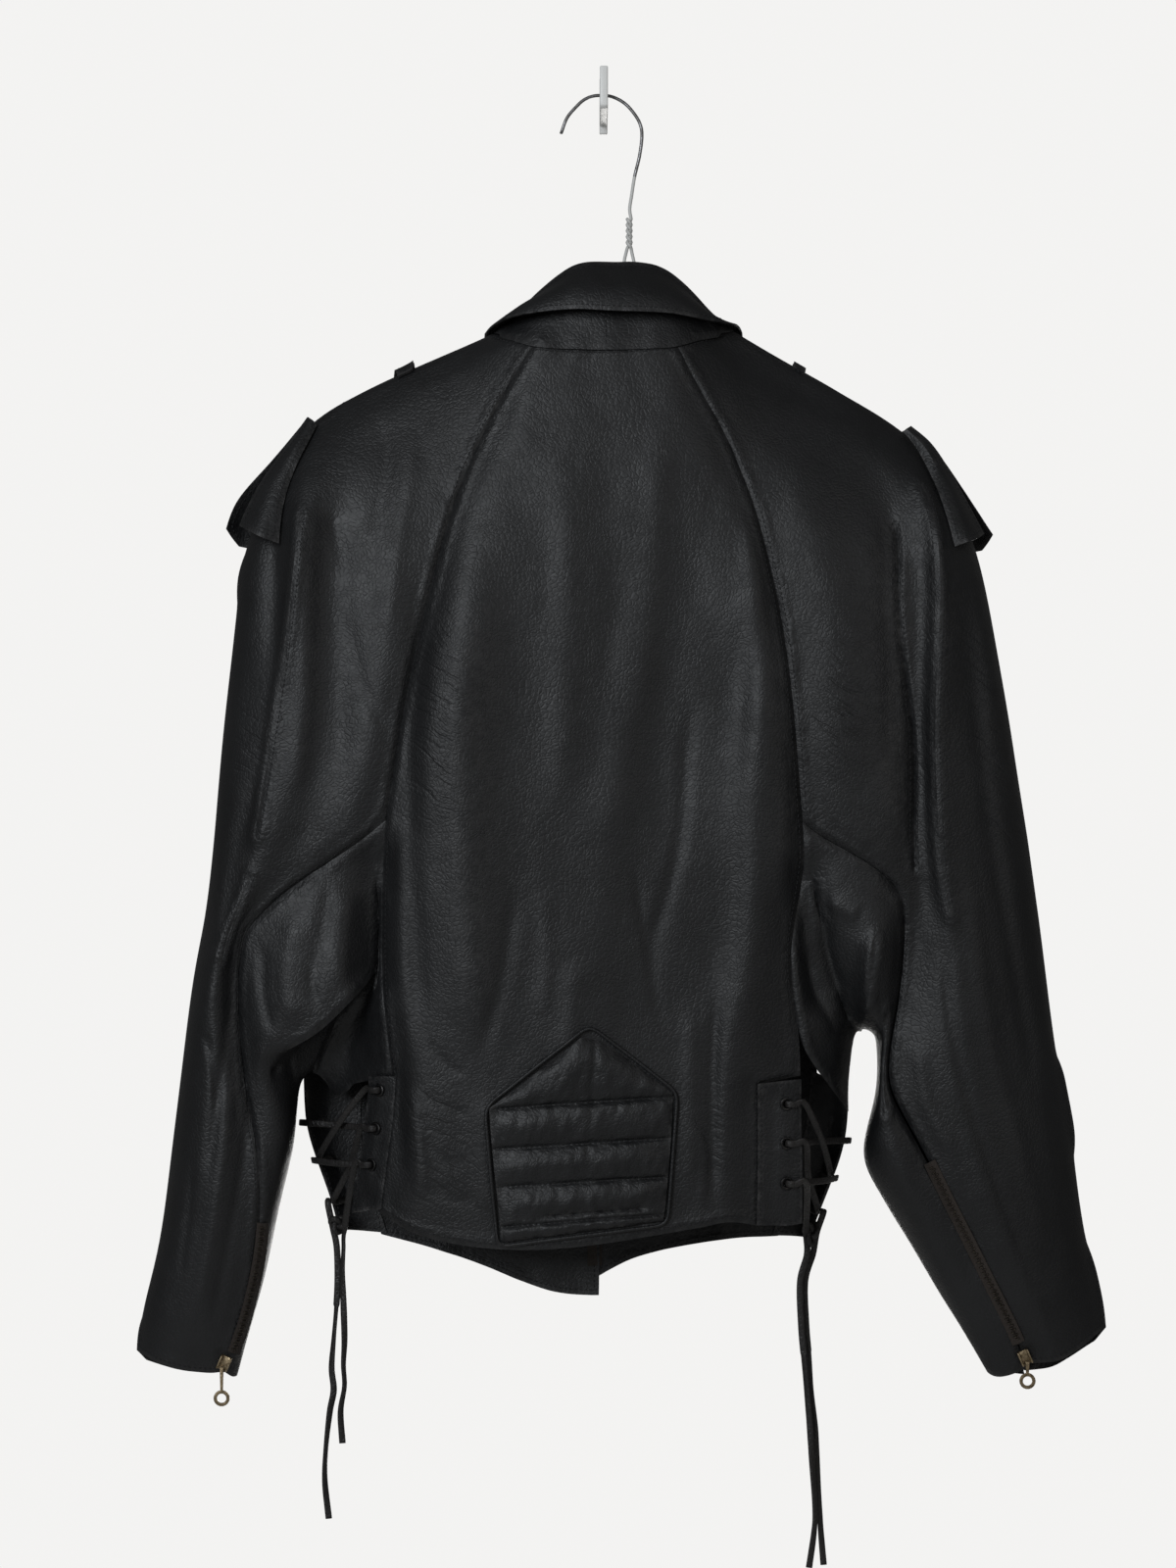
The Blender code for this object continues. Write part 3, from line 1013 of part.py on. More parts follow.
def tube_curve(name, points, radius, resolution, material):
    curve = bpy.data.curves.new(name, "CURVE")
    curve.dimensions = "3D"
    curve.bevel_depth = radius
    curve.bevel_resolution = resolution
    curve.use_fill_caps = True
    spline = curve.splines.new("POLY")
    spline.points.add(len(points) - 1)
    for spot, p in zip(spline.points, points):
        spot.co = (*p, 1.0)
    obj = bpy.data.objects.new(name, curve)
    bpy.context.collection.objects.link(obj)
    curve.materials.append(material)
    return obj


def stepped(points, gap):
    """Smooth curve through the route, with its own points and others at most a gap apart."""
    spans = [np.linalg.norm(b - a) for a, b in zip(points, points[1:])]
    return rounded(points, [max(1, int(math.ceil(d / gap - 0.25))) for d in spans])


def build_laces():
    for side in ("left", "right"):
        for half, route in zip(("back", "front"), lace_routes(side)):
            name = "lace_%s_%s" % (side, half)
            mat = make_material(name + "_leather", LACE_BLACK, 0.45, 0.0)
            tube_curve(name, stepped(route, LACE_STEP), LACE_WIDTH / 2, 2, mat)


# Sleeve zips: tape with its closed teeth, slider and pull
ZIPS = {
    "left": {"run": [(268, 1248), (266, 1270), (261, 1300), (254, 1330), (246, 1358), (238, 1380)],
             "slider": (229, 1389), "turn": 24, "lift": 0.0025},
    "right": {"run": [(949, 1186), (968, 1225), (991, 1270), (1011, 1310), (1031, 1350),
                      (1040, 1370)], "slider": (1046, 1383), "turn": -24, "lift": 0.0029}}


def build_zip(side):
    run = ZIPS[side]["run"]
    outer, inner = [], []
    half = ZIP_TAPE / 2 / SQUARE * (0.8 if side == "left" else 1.0)
    line = rounded([np.array((a, d, 0.0)) for a, d in run], [2] * (len(run) - 1))
    for i, p in enumerate(line):
        along = unit(line[min(i + 1, len(line) - 1)] - line[max(i - 1, 0)])
        across = np.array((along[1], -along[0]))
        top, low = [], []
        for k, rise in ((-1, 0.0009), (-0.35, 0.0016), (0.35, 0.0016), (1, 0.0009)):
            a, d = p[0] + across[0] * half * k, p[1] + across[1] * half * k
            low.append(seen_on(BACK_SURFACE, a, d, 0.0008))
            top.append(seen_on(BACK_SURFACE, a, d, 0.0008 + rise))
        outer.append(top)
        inner.append(low)
    two_skins("sleeve_zip_" + side, outer, inner,
              make_material("sleeve_zip_%s_tape" % side, TAPE_BROWN, 0.6, 0.0))


def box_profile(name, outline, low, high, material, matrix):
    """Outline in X and Y drawn out from a low to a high Z."""
    n = len(outline)
    verts = [matrix @ Vector((x, y, z)) for z in (low, high) for x, y in outline]
    faces = [list(range(n))[::-1], list(range(n, 2 * n))]
    faces += [[i, (i + 1) % n, n + (i + 1) % n, n + i] for i in range(n)]
    return solid(name, verts, faces, material, smooth=False)


def build_slider(side):
    a, d = ZIPS[side]["slider"]
    seat = Vector(seen_on(BACK_SURFACE, a, d, ZIPS[side]["lift"]))
    turn = Matrix.Rotation(math.radians(ZIPS[side]["turn"]), 4, "Y")
    frame = Matrix.Translation(seat) @ turn
    lugs = [(-0.0040, 0), (-0.0040, -0.0052), (-0.0027, -0.0052), (-0.0027, -0.0022),
            (0.0027, -0.0022), (0.0027, -0.0052), (0.0040, -0.0052), (0.0040, 0)]
    brass = make_material("slider_%s_brass" % side, OLD_BRASS, 0.45, 1.0)
    box_profile("slider_" + side, lugs, -0.0050, 0.0050, brass, frame)
    pivot = frame @ Vector((0, -0.0040, -0.0037))
    return pivot


PULL_LENGTH = {"left": 0.0205, "right": 0.0125}
PULL_RING = 0.0056


def build_pull(side, pivot):
    """Flat pull with a ring at its end, hanging from its hinge."""
    count = 18
    ring_at = -PULL_LENGTH[side]
    verts, faces = [], []
    half = 0.0007
    for y in (-half, half):
        for radius in (PULL_RING, PULL_RING * 0.58):
            for k in range(count):
                a = math.pi / 2 + 2 * math.pi * (k + 0.5) / count
                verts.append((math.cos(a) * radius, y, ring_at + math.sin(a) * radius))
    for k in range(count):
        j = (k + 1) % count
        faces.append([k, j, count + j, count + k])
        faces.append([2 * count + k, 3 * count + k, 3 * count + j, 2 * count + j])
        if k != count - 1:
            faces.append([k, 2 * count + k, 2 * count + j, j])
        faces.append([count + k, count + j, 3 * count + j, 3 * count + k])
    base = len(verts)
    for y in (-half, half):
        for x, z in ((-0.0013, -0.0016), (-0.0013, 0.0008), (0.0013, 0.0008), (0.0013, -0.0016)):
            verts.append((x, y, z))
    left, right = 0, count - 1
    faces.append([left, base, base + 1, base + 2, base + 3, right])
    far = base + 4
    faces.append([2 * count + right, far + 3, far + 2, far + 1, far, 2 * count + left])
    faces.append([left, 2 * count + left, far, base])
    faces.append([base + 3, far + 3, 2 * count + right, right])
    for m in range(3):
        faces.append([base + m, far + m, far + m + 1, base + m + 1])
    brass = make_material("pull_%s_brass" % side, OLD_BRASS, 0.42, 1.0)
    obj = solid("pull_" + side, verts, faces, brass, smooth=False)
    obj.matrix_world = Matrix.Translation(pivot)
    return obj


# Front zip inside the meeting edges, closed, and its slider outside
def build_front_zip():
    outer, inner = [], []
    for down, depth in ((428, 13.8), (600, 12.2), (750, 12.2), (900, 12.2), (1050, 13), (1200, 14.2),
                        (1292, 17.2)):
        outer.append([place(a, down, depth + 1.9) for a in (600, 607.5, 615)])
        inner.append([place(a, down, depth + 3.3) for a in (600, 607.5, 615)])
    two_skins("front_zip", outer, inner, make_material("front_zip_tape", TAPE_BROWN, 0.6, 0.0))
    seat = Matrix.Translation(Vector(place(607.5, 492, 12.3)))
    box_profile("front_slider", [(-0.004, 0), (-0.004, 0.003), (0.004, 0.003), (0.004, 0)],
                -0.005, 0.005, make_material("front_slider_brass", OLD_BRASS, 0.45, 1.0), seat)


# Wire hanger and the wall hook
TWIST_TURNS = 1.5


def build_hanger():
    hook = [(573, 137), (579, 121), (589, 109), (597, 102), (606, 98.5), (616, 98), (626, 99.5),
            (638, 106), (648, 117), (654, 128), (655.5, 140), (653, 160), (648, 181), (645, 200),
            (643, 214)]
    route = [place(a, d, HANGER_DEPTH * 1000) for a, d in hook]
    twist_a, twist_b = [], []
    for k in range(11):
        t = k / 10
        a = 2 * math.pi * TWIST_TURNS * t
        middle = place(642.5, 224 + 30 * t, HANGER_DEPTH * 1000)
        aside = np.array((math.cos(a), math.sin(a), 0)) * 0.00138
        twist_a.append(middle + aside)
        twist_b.append(middle - aside)
    left = [(638, 264), (632, 290), (605, 317), (560, 334), (520, 346), (470, 364), (440, 375.5),
            (400, 391.5), (370, 404.5), (348, 416), (336, 426), (334, 436), (342, 442)]
    bar = [(400, 444), (500, 447), (620, 450), (740, 453), (850, 456), (890, 457)]
    right = [(902, 453), (905, 443), (897, 432), (880, 421.5), (850, 403), (810, 382), (780, 367.5),
             (745, 350.5), (700, 332), (670, 314), (654, 292), (647, 266)]
    route += twist_a + [place(a, d, HANGER_DEPTH * 1000) for a, d in left + bar + right]
    route += twist_b[::-1]
    points = rounded(route, [1] * (len(route) - 1))
    steel = make_material("hanger_wire_steel", WIRE_STEEL, 0.4, 0.8)
    tube_curve("wire_hanger", points, WIRE / 2, 1, steel)


def build_wall_hook():
    side = [(0, -0.006), (0, 0.034), (-0.0030, 0.034), (-0.0030, 0.0094), (-0.0555, 0.0094),
            (-0.0555, 0.0286), (-0.0600, 0.0286), (-0.0600, 0.0012), (-0.0575, -0.0006),
            (-0.0030, -0.0006), (-0.0030, -0.006)]
    upright = Matrix(((0, 0, 1, 0), (1, 0, 0, 0), (0, 1, 0, 0), (0, 0, 0, 1)))
    paint = make_material("wall_hook_paint", HOOK_WHITE, 0.5, 0.0)
    box_profile("wall_hook", side, -0.0028, 0.0028, paint, upright)


build_patch()
build_piping()
build_collar()
build_caps()
build_strips()
build_laces()
for sleeve in ("left", "right"):
    build_zip(sleeve)
    build_pull(sleeve, build_slider(sleeve))
build_front_zip()
build_hanger()
build_wall_hook()
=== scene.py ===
import math

import bmesh
import bpy
import numpy as np
from mathutils import Matrix, Vector
from mathutils.bvhtree import BVHTree
from mathutils.kdtree import KDTree


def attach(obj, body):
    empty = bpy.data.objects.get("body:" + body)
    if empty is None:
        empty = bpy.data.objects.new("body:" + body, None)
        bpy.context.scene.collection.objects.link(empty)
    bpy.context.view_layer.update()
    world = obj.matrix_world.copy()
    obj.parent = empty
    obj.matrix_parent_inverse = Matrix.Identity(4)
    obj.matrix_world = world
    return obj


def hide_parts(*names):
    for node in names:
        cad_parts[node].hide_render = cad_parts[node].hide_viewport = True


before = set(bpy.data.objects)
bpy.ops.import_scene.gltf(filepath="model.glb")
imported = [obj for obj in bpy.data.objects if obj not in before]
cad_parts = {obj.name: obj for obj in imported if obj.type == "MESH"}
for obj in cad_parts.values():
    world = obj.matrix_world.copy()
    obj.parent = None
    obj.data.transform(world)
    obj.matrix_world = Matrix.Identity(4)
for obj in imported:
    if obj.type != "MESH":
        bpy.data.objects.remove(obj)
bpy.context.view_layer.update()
scene = bpy.context.scene
print("stage: frame loaded")

# How the photograph was taken. Spots on it are (across, down), in its own pixels.
photo = {
    "eye": (-0.011, -2.05, -0.469),
    "high": 1.0667,             # what it shows from top to bottom at the back panel, in metres
    "pixel": 0.001 * 2 / 3,     # size of one pixel at the back panel
    "backDepth": 0.095,         # back panel in front of the wall
    "hookAcross": 617,
    "hookDown": 97}
eye = Vector(photo["eye"])


def spotAt(across, down, depth):  # depth in metres in front of the wall
    spread = (-eye.y - depth) / (-eye.y - photo["backDepth"])
    x = eye.x + ((across - photo["hookAcross"]) * photo["pixel"] - eye.x) * spread
    z = eye.z + ((photo["hookDown"] - down) * photo["pixel"] - eye.z) * spread
    return Vector((x, -depth, z))


def spotsOf(points):  # the other way round, for an array of points
    spread = (points[:, 1] - eye.y) / (-eye.y - photo["backDepth"])
    across = ((points[:, 0] - eye.x) / spread + eye.x) / photo["pixel"] + photo["hookAcross"]
    down = photo["hookDown"] - ((points[:, 2] - eye.z) / spread + eye.z) / photo["pixel"]
    return np.stack((across, down), axis=1)


def smoothLine(points, gap):  # rounded line through the points, with others at most a gap apart
    pts = [np.asarray(p, float) for p in points]
    pts = [2 * pts[0] - pts[1]] + pts + [2 * pts[-1] - pts[-2]]
    line = []
    for i in range(1, len(pts) - 2):
        a, b, c, d = pts[i - 1:i + 3]
        count = max(1, math.ceil(np.linalg.norm(c - b) / gap - 0.25))
        for k in range(count):
            t = k / count
            line.append(0.5 * (2 * b + (c - a) * t + (2 * a - 5 * b + 4 * c - d) * t * t
                               + (3 * b - a - 3 * c + d) * t ** 3))
    line.append(pts[-2])
    return line


# Camera, lights and floor
view = {"floorDown": -1.75, "floorRadius": 2.5}
camera = bpy.data.objects.new("camera", bpy.data.cameras.new("camera"))
camera.data.sensor_fit = "VERTICAL"
camera.data.angle = 2 * math.atan(photo["high"] / 2 / (-eye.y - photo["backDepth"]))
camera.location = eye
camera.rotation_euler = (math.pi / 2, 0, 0)
scene.collection.objects.link(camera)
scene.camera = camera

lightsAim = Vector((0, -0.05, -0.5))
lightSet = {
    "window": {"at": (-1.12, -2.25, 0.3), "size": (0.8, 1.2), "watts": 34, "colour": (0.92, 0.96, 1.0)},
    "fill": {"at": (1.5, -2.3, 0.2), "size": (1.2, 1.8), "watts": 7, "colour": (1.0, 0.98, 0.95)},
    "behind": {"at": (0.3, 2.35, -1.0), "size": (1.2, 1.2), "watts": 24, "colour": (1.0, 0.99, 0.97)}}
for name, facts in lightSet.items():
    lamp = bpy.data.lights.new(name, "AREA")
    lamp.shape = "RECTANGLE"
    lamp.size, lamp.size_y = facts["size"]
    lamp.energy = facts["watts"]
    lamp.color = facts["colour"]
    holder = bpy.data.objects.new(name, lamp)
    holder.location = facts["at"]
    holder.rotation_euler = (lightsAim - holder.location).to_track_quat("-Z", "Y").to_euler()
    scene.collection.objects.link(holder)

room = bpy.data.worlds.new("room")
room.use_nodes = True
roomLook = {"colour": (0.90, 0.895, 0.885), "shown": 1.0, "light": 0.12}
roomTree = room.node_tree
seenDirect = roomTree.nodes.new("ShaderNodeLightPath")
howBright = roomTree.nodes.new("ShaderNodeMapRange")
howBright.inputs["To Min"].default_value = roomLook["light"]
howBright.inputs["To Max"].default_value = roomLook["shown"]
roomTree.links.new(seenDirect.outputs["Is Camera Ray"], howBright.inputs["Value"])
roomTree.links.new(howBright.outputs["Result"], roomTree.nodes["Background"].inputs["Strength"])
roomTree.nodes["Background"].inputs["Color"].default_value = (*roomLook["colour"], 1)
scene.world = room
scene.view_settings.view_transform = "Standard"


# Finishes. A small helper makes a node, sets its values and joins what is given to its inputs.
def addNode(tree, kind, values=None, joins=None, **settings):
    made = tree.nodes.new("ShaderNode" + kind)
    for key, value in settings.items():
        setattr(made, key, value)
    for key, value in (values or {}).items():
        made.inputs[key].default_value = value
    for key, source in (joins or {}).items():
        tree.links.new(source, made.inputs[key])
    return made


def newFinish(name, colour, roughness, metallic=0.0):
    finish = bpy.data.materials.new(name)
    finish.use_nodes = True
    finish.diffuse_color = (*colour, 1)
    shader = finish.node_tree.nodes["Principled BSDF"]
    shader.inputs["Base Color"].default_value = (*colour, 1)
    shader.inputs["Roughness"].default_value = roughness
    shader.inputs["Metallic"].default_value = metallic
    return finish, finish.node_tree, shader


def spread(tree, source, low, high, toLow, toHigh):
    made = addNode(tree, "MapRange", {"From Min": low, "From Max": high, "To Min": toLow,
                                      "To Max": toHigh}, {"Value": source})
    return made.outputs["Result"]


def bumpChain(tree, shader, layers):  # layers are (height source, depth in metres)
    normal = None
    for source, depth in layers:
        joins = {"Height": source}
        if normal is not None:
            joins["Normal"] = normal
        normal = addNode(tree, "Bump", {"Strength": 1.0, "Distance": depth}, joins).outputs["Normal"]
    tree.links.new(normal, shader.inputs["Normal"])


leatherLook = {
    "colour": (0.0048, 0.0050, 0.0056),
    "faded": (0.0090, 0.0093, 0.0102),
    "rubbed": (0.060, 0.058, 0.058),
    "roughness": (0.46, 0.55),
    "grain": 1100, "grainDepth": 0.00005,
    "crackle": 330, "crackleDepth": 0.00012,
    "crease": 60, "creaseDepth": 0.0005,
    "lumps": 190, "lumpDepth": 0.0009,
    "wrinkle": (38, 330), "wrinkleTurn": -0.55, "wrinkleDepth": 0.00045}


def leatherFinish(name, look):
    finish, tree, shader = newFinish(name, look["colour"], 0.45)
    place = addNode(tree, "TexCoord").outputs["Object"]
    warp = addNode(tree, "TexNoise", {"Scale": 26.0, "Detail": 3.0}, {"Vector": place})
    shift = addNode(tree, "VectorMath", {1: (0.5, 0.5, 0.5)}, {0: warp.outputs["Color"]},
                    operation="SUBTRACT")
    bent = addNode(tree, "VectorMath", {1: (0.02, 0.02, 0.02)}, {0: shift.outputs[0], 2: place},
                   operation="MULTIPLY_ADD")
    crackle = addNode(tree, "TexVoronoi", {"Scale": look["crackle"]}, {"Vector": bent.outputs[0]},
                      feature="DISTANCE_TO_EDGE")
    crackleRise = spread(tree, crackle.outputs["Distance"], 0.0, 0.22, 0.0, 1.0)
    grain = addNode(tree, "TexVoronoi", {"Scale": look["grain"]}, {"Vector": bent.outputs[0]})
    soft = addNode(tree, "TexNoise", {"Scale": look["crease"], "Detail": 4.0, "Roughness": 0.55},
                   {"Vector": bent.outputs[0]})
    lumps = addNode(tree, "TexNoise", {"Scale": look["lumps"], "Detail": 1.0}, {"Vector": place})
    gathered = addNode(tree, "Attribute", attribute_name="gathered")
    lumpRise = addNode(tree, "Math", {}, {0: lumps.outputs["Fac"], 1: gathered.outputs["Fac"]},
                       operation="MULTIPLY")
    turned = addNode(tree, "Mapping", {"Rotation": (0, look["wrinkleTurn"], 0)}, {"Vector": bent.outputs[0]})
    drawn = addNode(tree, "Mapping", {"Scale": (look["wrinkle"][0], 30, look["wrinkle"][1])},
                    {"Vector": turned.outputs["Vector"]})
    wrinkles = addNode(tree, "TexNoise", {"Scale": 1.0, "Detail": 2.0, "Roughness": 0.5},
                       {"Vector": drawn.outputs["Vector"]})
    creased = addNode(tree, "Attribute", attribute_name="creased")
    wrinkleRise = addNode(tree, "Math", {}, {0: spread(tree, wrinkles.outputs["Fac"], 0.30, 0.50, 0.0, 1.0),
                                             1: creased.outputs["Fac"]}, operation="MULTIPLY")
    patches = addNode(tree, "TexNoise", {"Scale": 9.0, "Detail": 5.0, "Roughness": 0.6}, {"Vector": place})
    wear = addNode(tree, "Attribute", attribute_name="wear")
    scuff = addNode(tree, "TexNoise", {"Scale": 150.0, "Detail": 4.0, "Roughness": 0.7}, {"Vector": place})
    scuffed = addNode(tree, "Math", {}, {0: wear.outputs["Fac"],
                                         1: spread(tree, scuff.outputs["Fac"], 0.42, 0.66, 0.0, 1.0)},
                      operation="MULTIPLY")
    fade = addNode(tree, "Mix", {6: (*look["colour"], 1), 7: (*look["faded"], 1)},
                   {0: spread(tree, patches.outputs["Fac"], 0.40, 0.68, 0.0, 1.0)}, data_type="RGBA")
    rub = addNode(tree, "Mix", {7: (*look["rubbed"], 1)},
                  {0: scuffed.outputs[0], 6: fade.outputs[2]}, data_type="RGBA")
    tree.links.new(rub.outputs[2], shader.inputs["Base Color"])
    low, high = look["roughness"]
    tree.links.new(spread(tree, soft.outputs["Fac"], 0.3, 0.7, low, high), shader.inputs["Roughness"])
    shader.inputs["Specular IOR Level"].default_value = 0.42
    bumpChain(tree, shader, [(soft.outputs["Fac"], look["creaseDepth"]),
                             (lumpRise.outputs[0], look["lumpDepth"]),
                             (wrinkleRise.outputs[0], look["wrinkleDepth"]),
                             (crackleRise, look["crackleDepth"]),
                             (grain.outputs["Distance"], look["grainDepth"])])
    return finish


def metalFinish(name, bright, dull, roughness, scale, dents):
    finish, tree, shader = newFinish(name, bright, roughness[0], 1.0)
    place = addNode(tree, "TexCoord").outputs["Object"]
    cloud = addNode(tree, "TexNoise", {"Scale": scale, "Detail": 6.0, "Roughness": 0.65}, {"Vector": place})
    fine = addNode(tree, "TexNoise", {"Scale": scale * 9, "Detail": 3.0}, {"Vector": place})
    mix = addNode(tree, "Mix", {6: (*bright, 1), 7: (*dull, 1)},
                  {0: spread(tree, cloud.outputs["Fac"], 0.38, 0.62, 0.0, 1.0)}, data_type="RGBA")
    tree.links.new(mix.outputs[2], shader.inputs["Base Color"])
    tree.links.new(spread(tree, cloud.outputs["Fac"], 0.35, 0.65, *roughness), shader.inputs["Roughness"])
    bumpChain(tree, shader, [(fine.outputs["Fac"], dents)])
    return finish


def wovenFinish(name, colour, thread):
    finish, tree, shader = newFinish(name, colour, 0.85)
    place = addNode(tree, "TexCoord").outputs["Object"]
    ribs = addNode(tree, "TexWave", {"Scale": thread, "Distortion": 1.2, "Detail": 2.0}, {"Vector": place},
                   wave_type="BANDS", bands_direction="DIAGONAL")
    fuzz = addNode(tree, "TexNoise", {"Scale": thread * 3, "Detail": 4.0}, {"Vector": place})
    dark = tuple(c * 0.55 for c in colour)
    mix = addNode(tree, "Mix", {6: (*dark, 1), 7: (*colour, 1)}, {0: ribs.outputs["Fac"]}, data_type="RGBA")
    tree.links.new(mix.outputs[2], shader.inputs["Base Color"])
    bumpChain(tree, shader, [(ribs.outputs["Fac"], 0.00025), (fuzz.outputs["Fac"], 0.00015)])
    return finish


blackLeather = leatherFinish("blackLeather", leatherLook)
laceLeather = leatherFinish("laceLeather", dict(
    leatherLook, colour=(0.011, 0.010, 0.010), faded=(0.020, 0.018, 0.017), roughness=(0.42, 0.6),
    crackle=320, crackleDepth=0.0002, crease=160, creaseDepth=0.0005))
agedBrass = metalFinish("agedBrass", (0.42, 0.33, 0.21), (0.13, 0.095, 0.055), (0.32, 0.60), 420, 0.00008)
blackEnamel = metalFinish("blackEnamel", (0.055, 0.053, 0.052), (0.02, 0.02, 0.021), (0.32, 0.5), 300,
                          0.00006)
dullTeeth = metalFinish("dullTeeth", (0.10, 0.086, 0.070), (0.034, 0.030, 0.026), (0.38, 0.6), 400, 0.00006)
darkSteel = metalFinish("darkSteel", (0.30, 0.30, 0.31), (0.14, 0.135, 0.13), (0.30, 0.50), 240, 0.00005)
zipTape = wovenFinish("zipTape", (0.040, 0.030, 0.024), 900)
threadBlack = wovenFinish("threadBlack", (0.026, 0.026, 0.028), 1600)


def paintFinish(name, colour):
    finish, tree, shader = newFinish(name, colour, 0.42)
    place = addNode(tree, "TexCoord").outputs["Object"]
    cloud = addNode(tree, "TexNoise", {"Scale": 90.0, "Detail": 5.0}, {"Vector": place})
    grime = tuple(c * 0.88 for c in colour)
    mix = addNode(tree, "Mix", {6: (*colour, 1), 7: (*grime, 1)},
                  {0: spread(tree, cloud.outputs["Fac"], 0.5, 0.75, 0.0, 1.0)}, data_type="RGBA")
    tree.links.new(mix.outputs[2], shader.inputs["Base Color"])
    tree.links.new(spread(tree, cloud.outputs["Fac"], 0.3, 0.7, 0.36, 0.52), shader.inputs["Roughness"])
    bumpChain(tree, shader, [(cloud.outputs["Fac"], 0.00025)])
    return finish


hookPaint = paintFinish("hookPaint", (0.82, 0.82, 0.80))
floorPaint = paintFinish("floorPaint", (0.74, 0.73, 0.71))


# Making pieces
def newPiece(name, points, faces, finish, smooth=True):
    mesh = bpy.data.meshes.new(name)
    mesh.from_pydata([tuple(p) for p in points], [], faces)
    mesh.update()
    piece = bpy.data.objects.new(name, mesh)
    scene.collection.objects.link(piece)
    mesh.materials.append(finish)
    for face in mesh.polygons:
        face.use_smooth = smooth
    return piece


def pieceFrom(net, name, finish, kind, **settings):  # a smooth piece with one modifier worked in
    mesh = bpy.data.meshes.new(name)
    net.to_mesh(mesh)
    net.free()
    mesh.materials.clear()
    mesh.materials.append(finish)
    piece = bpy.data.objects.new(name, mesh)
    scene.collection.objects.link(piece)
    change = piece.modifiers.new("change", kind)
    for key, value in settings.items():
        setattr(change, key, value)
    bpy.context.view_layer.update()
    done = bpy.data.meshes.new_from_object(
        piece.evaluated_get(bpy.context.evaluated_depsgraph_get()))
    piece.modifiers.clear()
    piece.data = done
    done.name = name
    for face in done.polygons:
        face.use_smooth = True
    return piece


def tubeFaces(rings, sides, base=0):  # closed at both ends
    faces = []
    for low in range(base, base + rings * sides, sides):
        for k in range(sides):
            m = (k + 1) % sides
            faces.append([low + k, low + m, low + sides + m, low + sides + k])
    faces.append([base + k for k in range(sides)][::-1])
    faces.append([base + rings * sides + k for k in range(sides)])
    return faces


def tubeAlong(name, line, radius, sides, finish):
    points = []
    last = len(line) - 1
    side = None
    for i, p in enumerate(line):
        along = Vector(line[min(i + 1, last)]) - Vector(line[max(i - 1, 0)])
        along.normalize()
        if side is None:
            side = along.orthogonal().normalized()
        side = (side - along * side.dot(along)).normalized()
        up = along.cross(side)
        for k in range(sides):
            turn = 2 * math.pi * k / sides
            points.append(Vector(p) + (side * math.cos(turn) + up * math.sin(turn)) * radius)
    return newPiece(name, points, tubeFaces(last, sides), finish)


def rideAs(piece, slotName, *nodes, body="body"):
    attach(piece, body)
    if nodes:
        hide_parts(*nodes)
    return piece


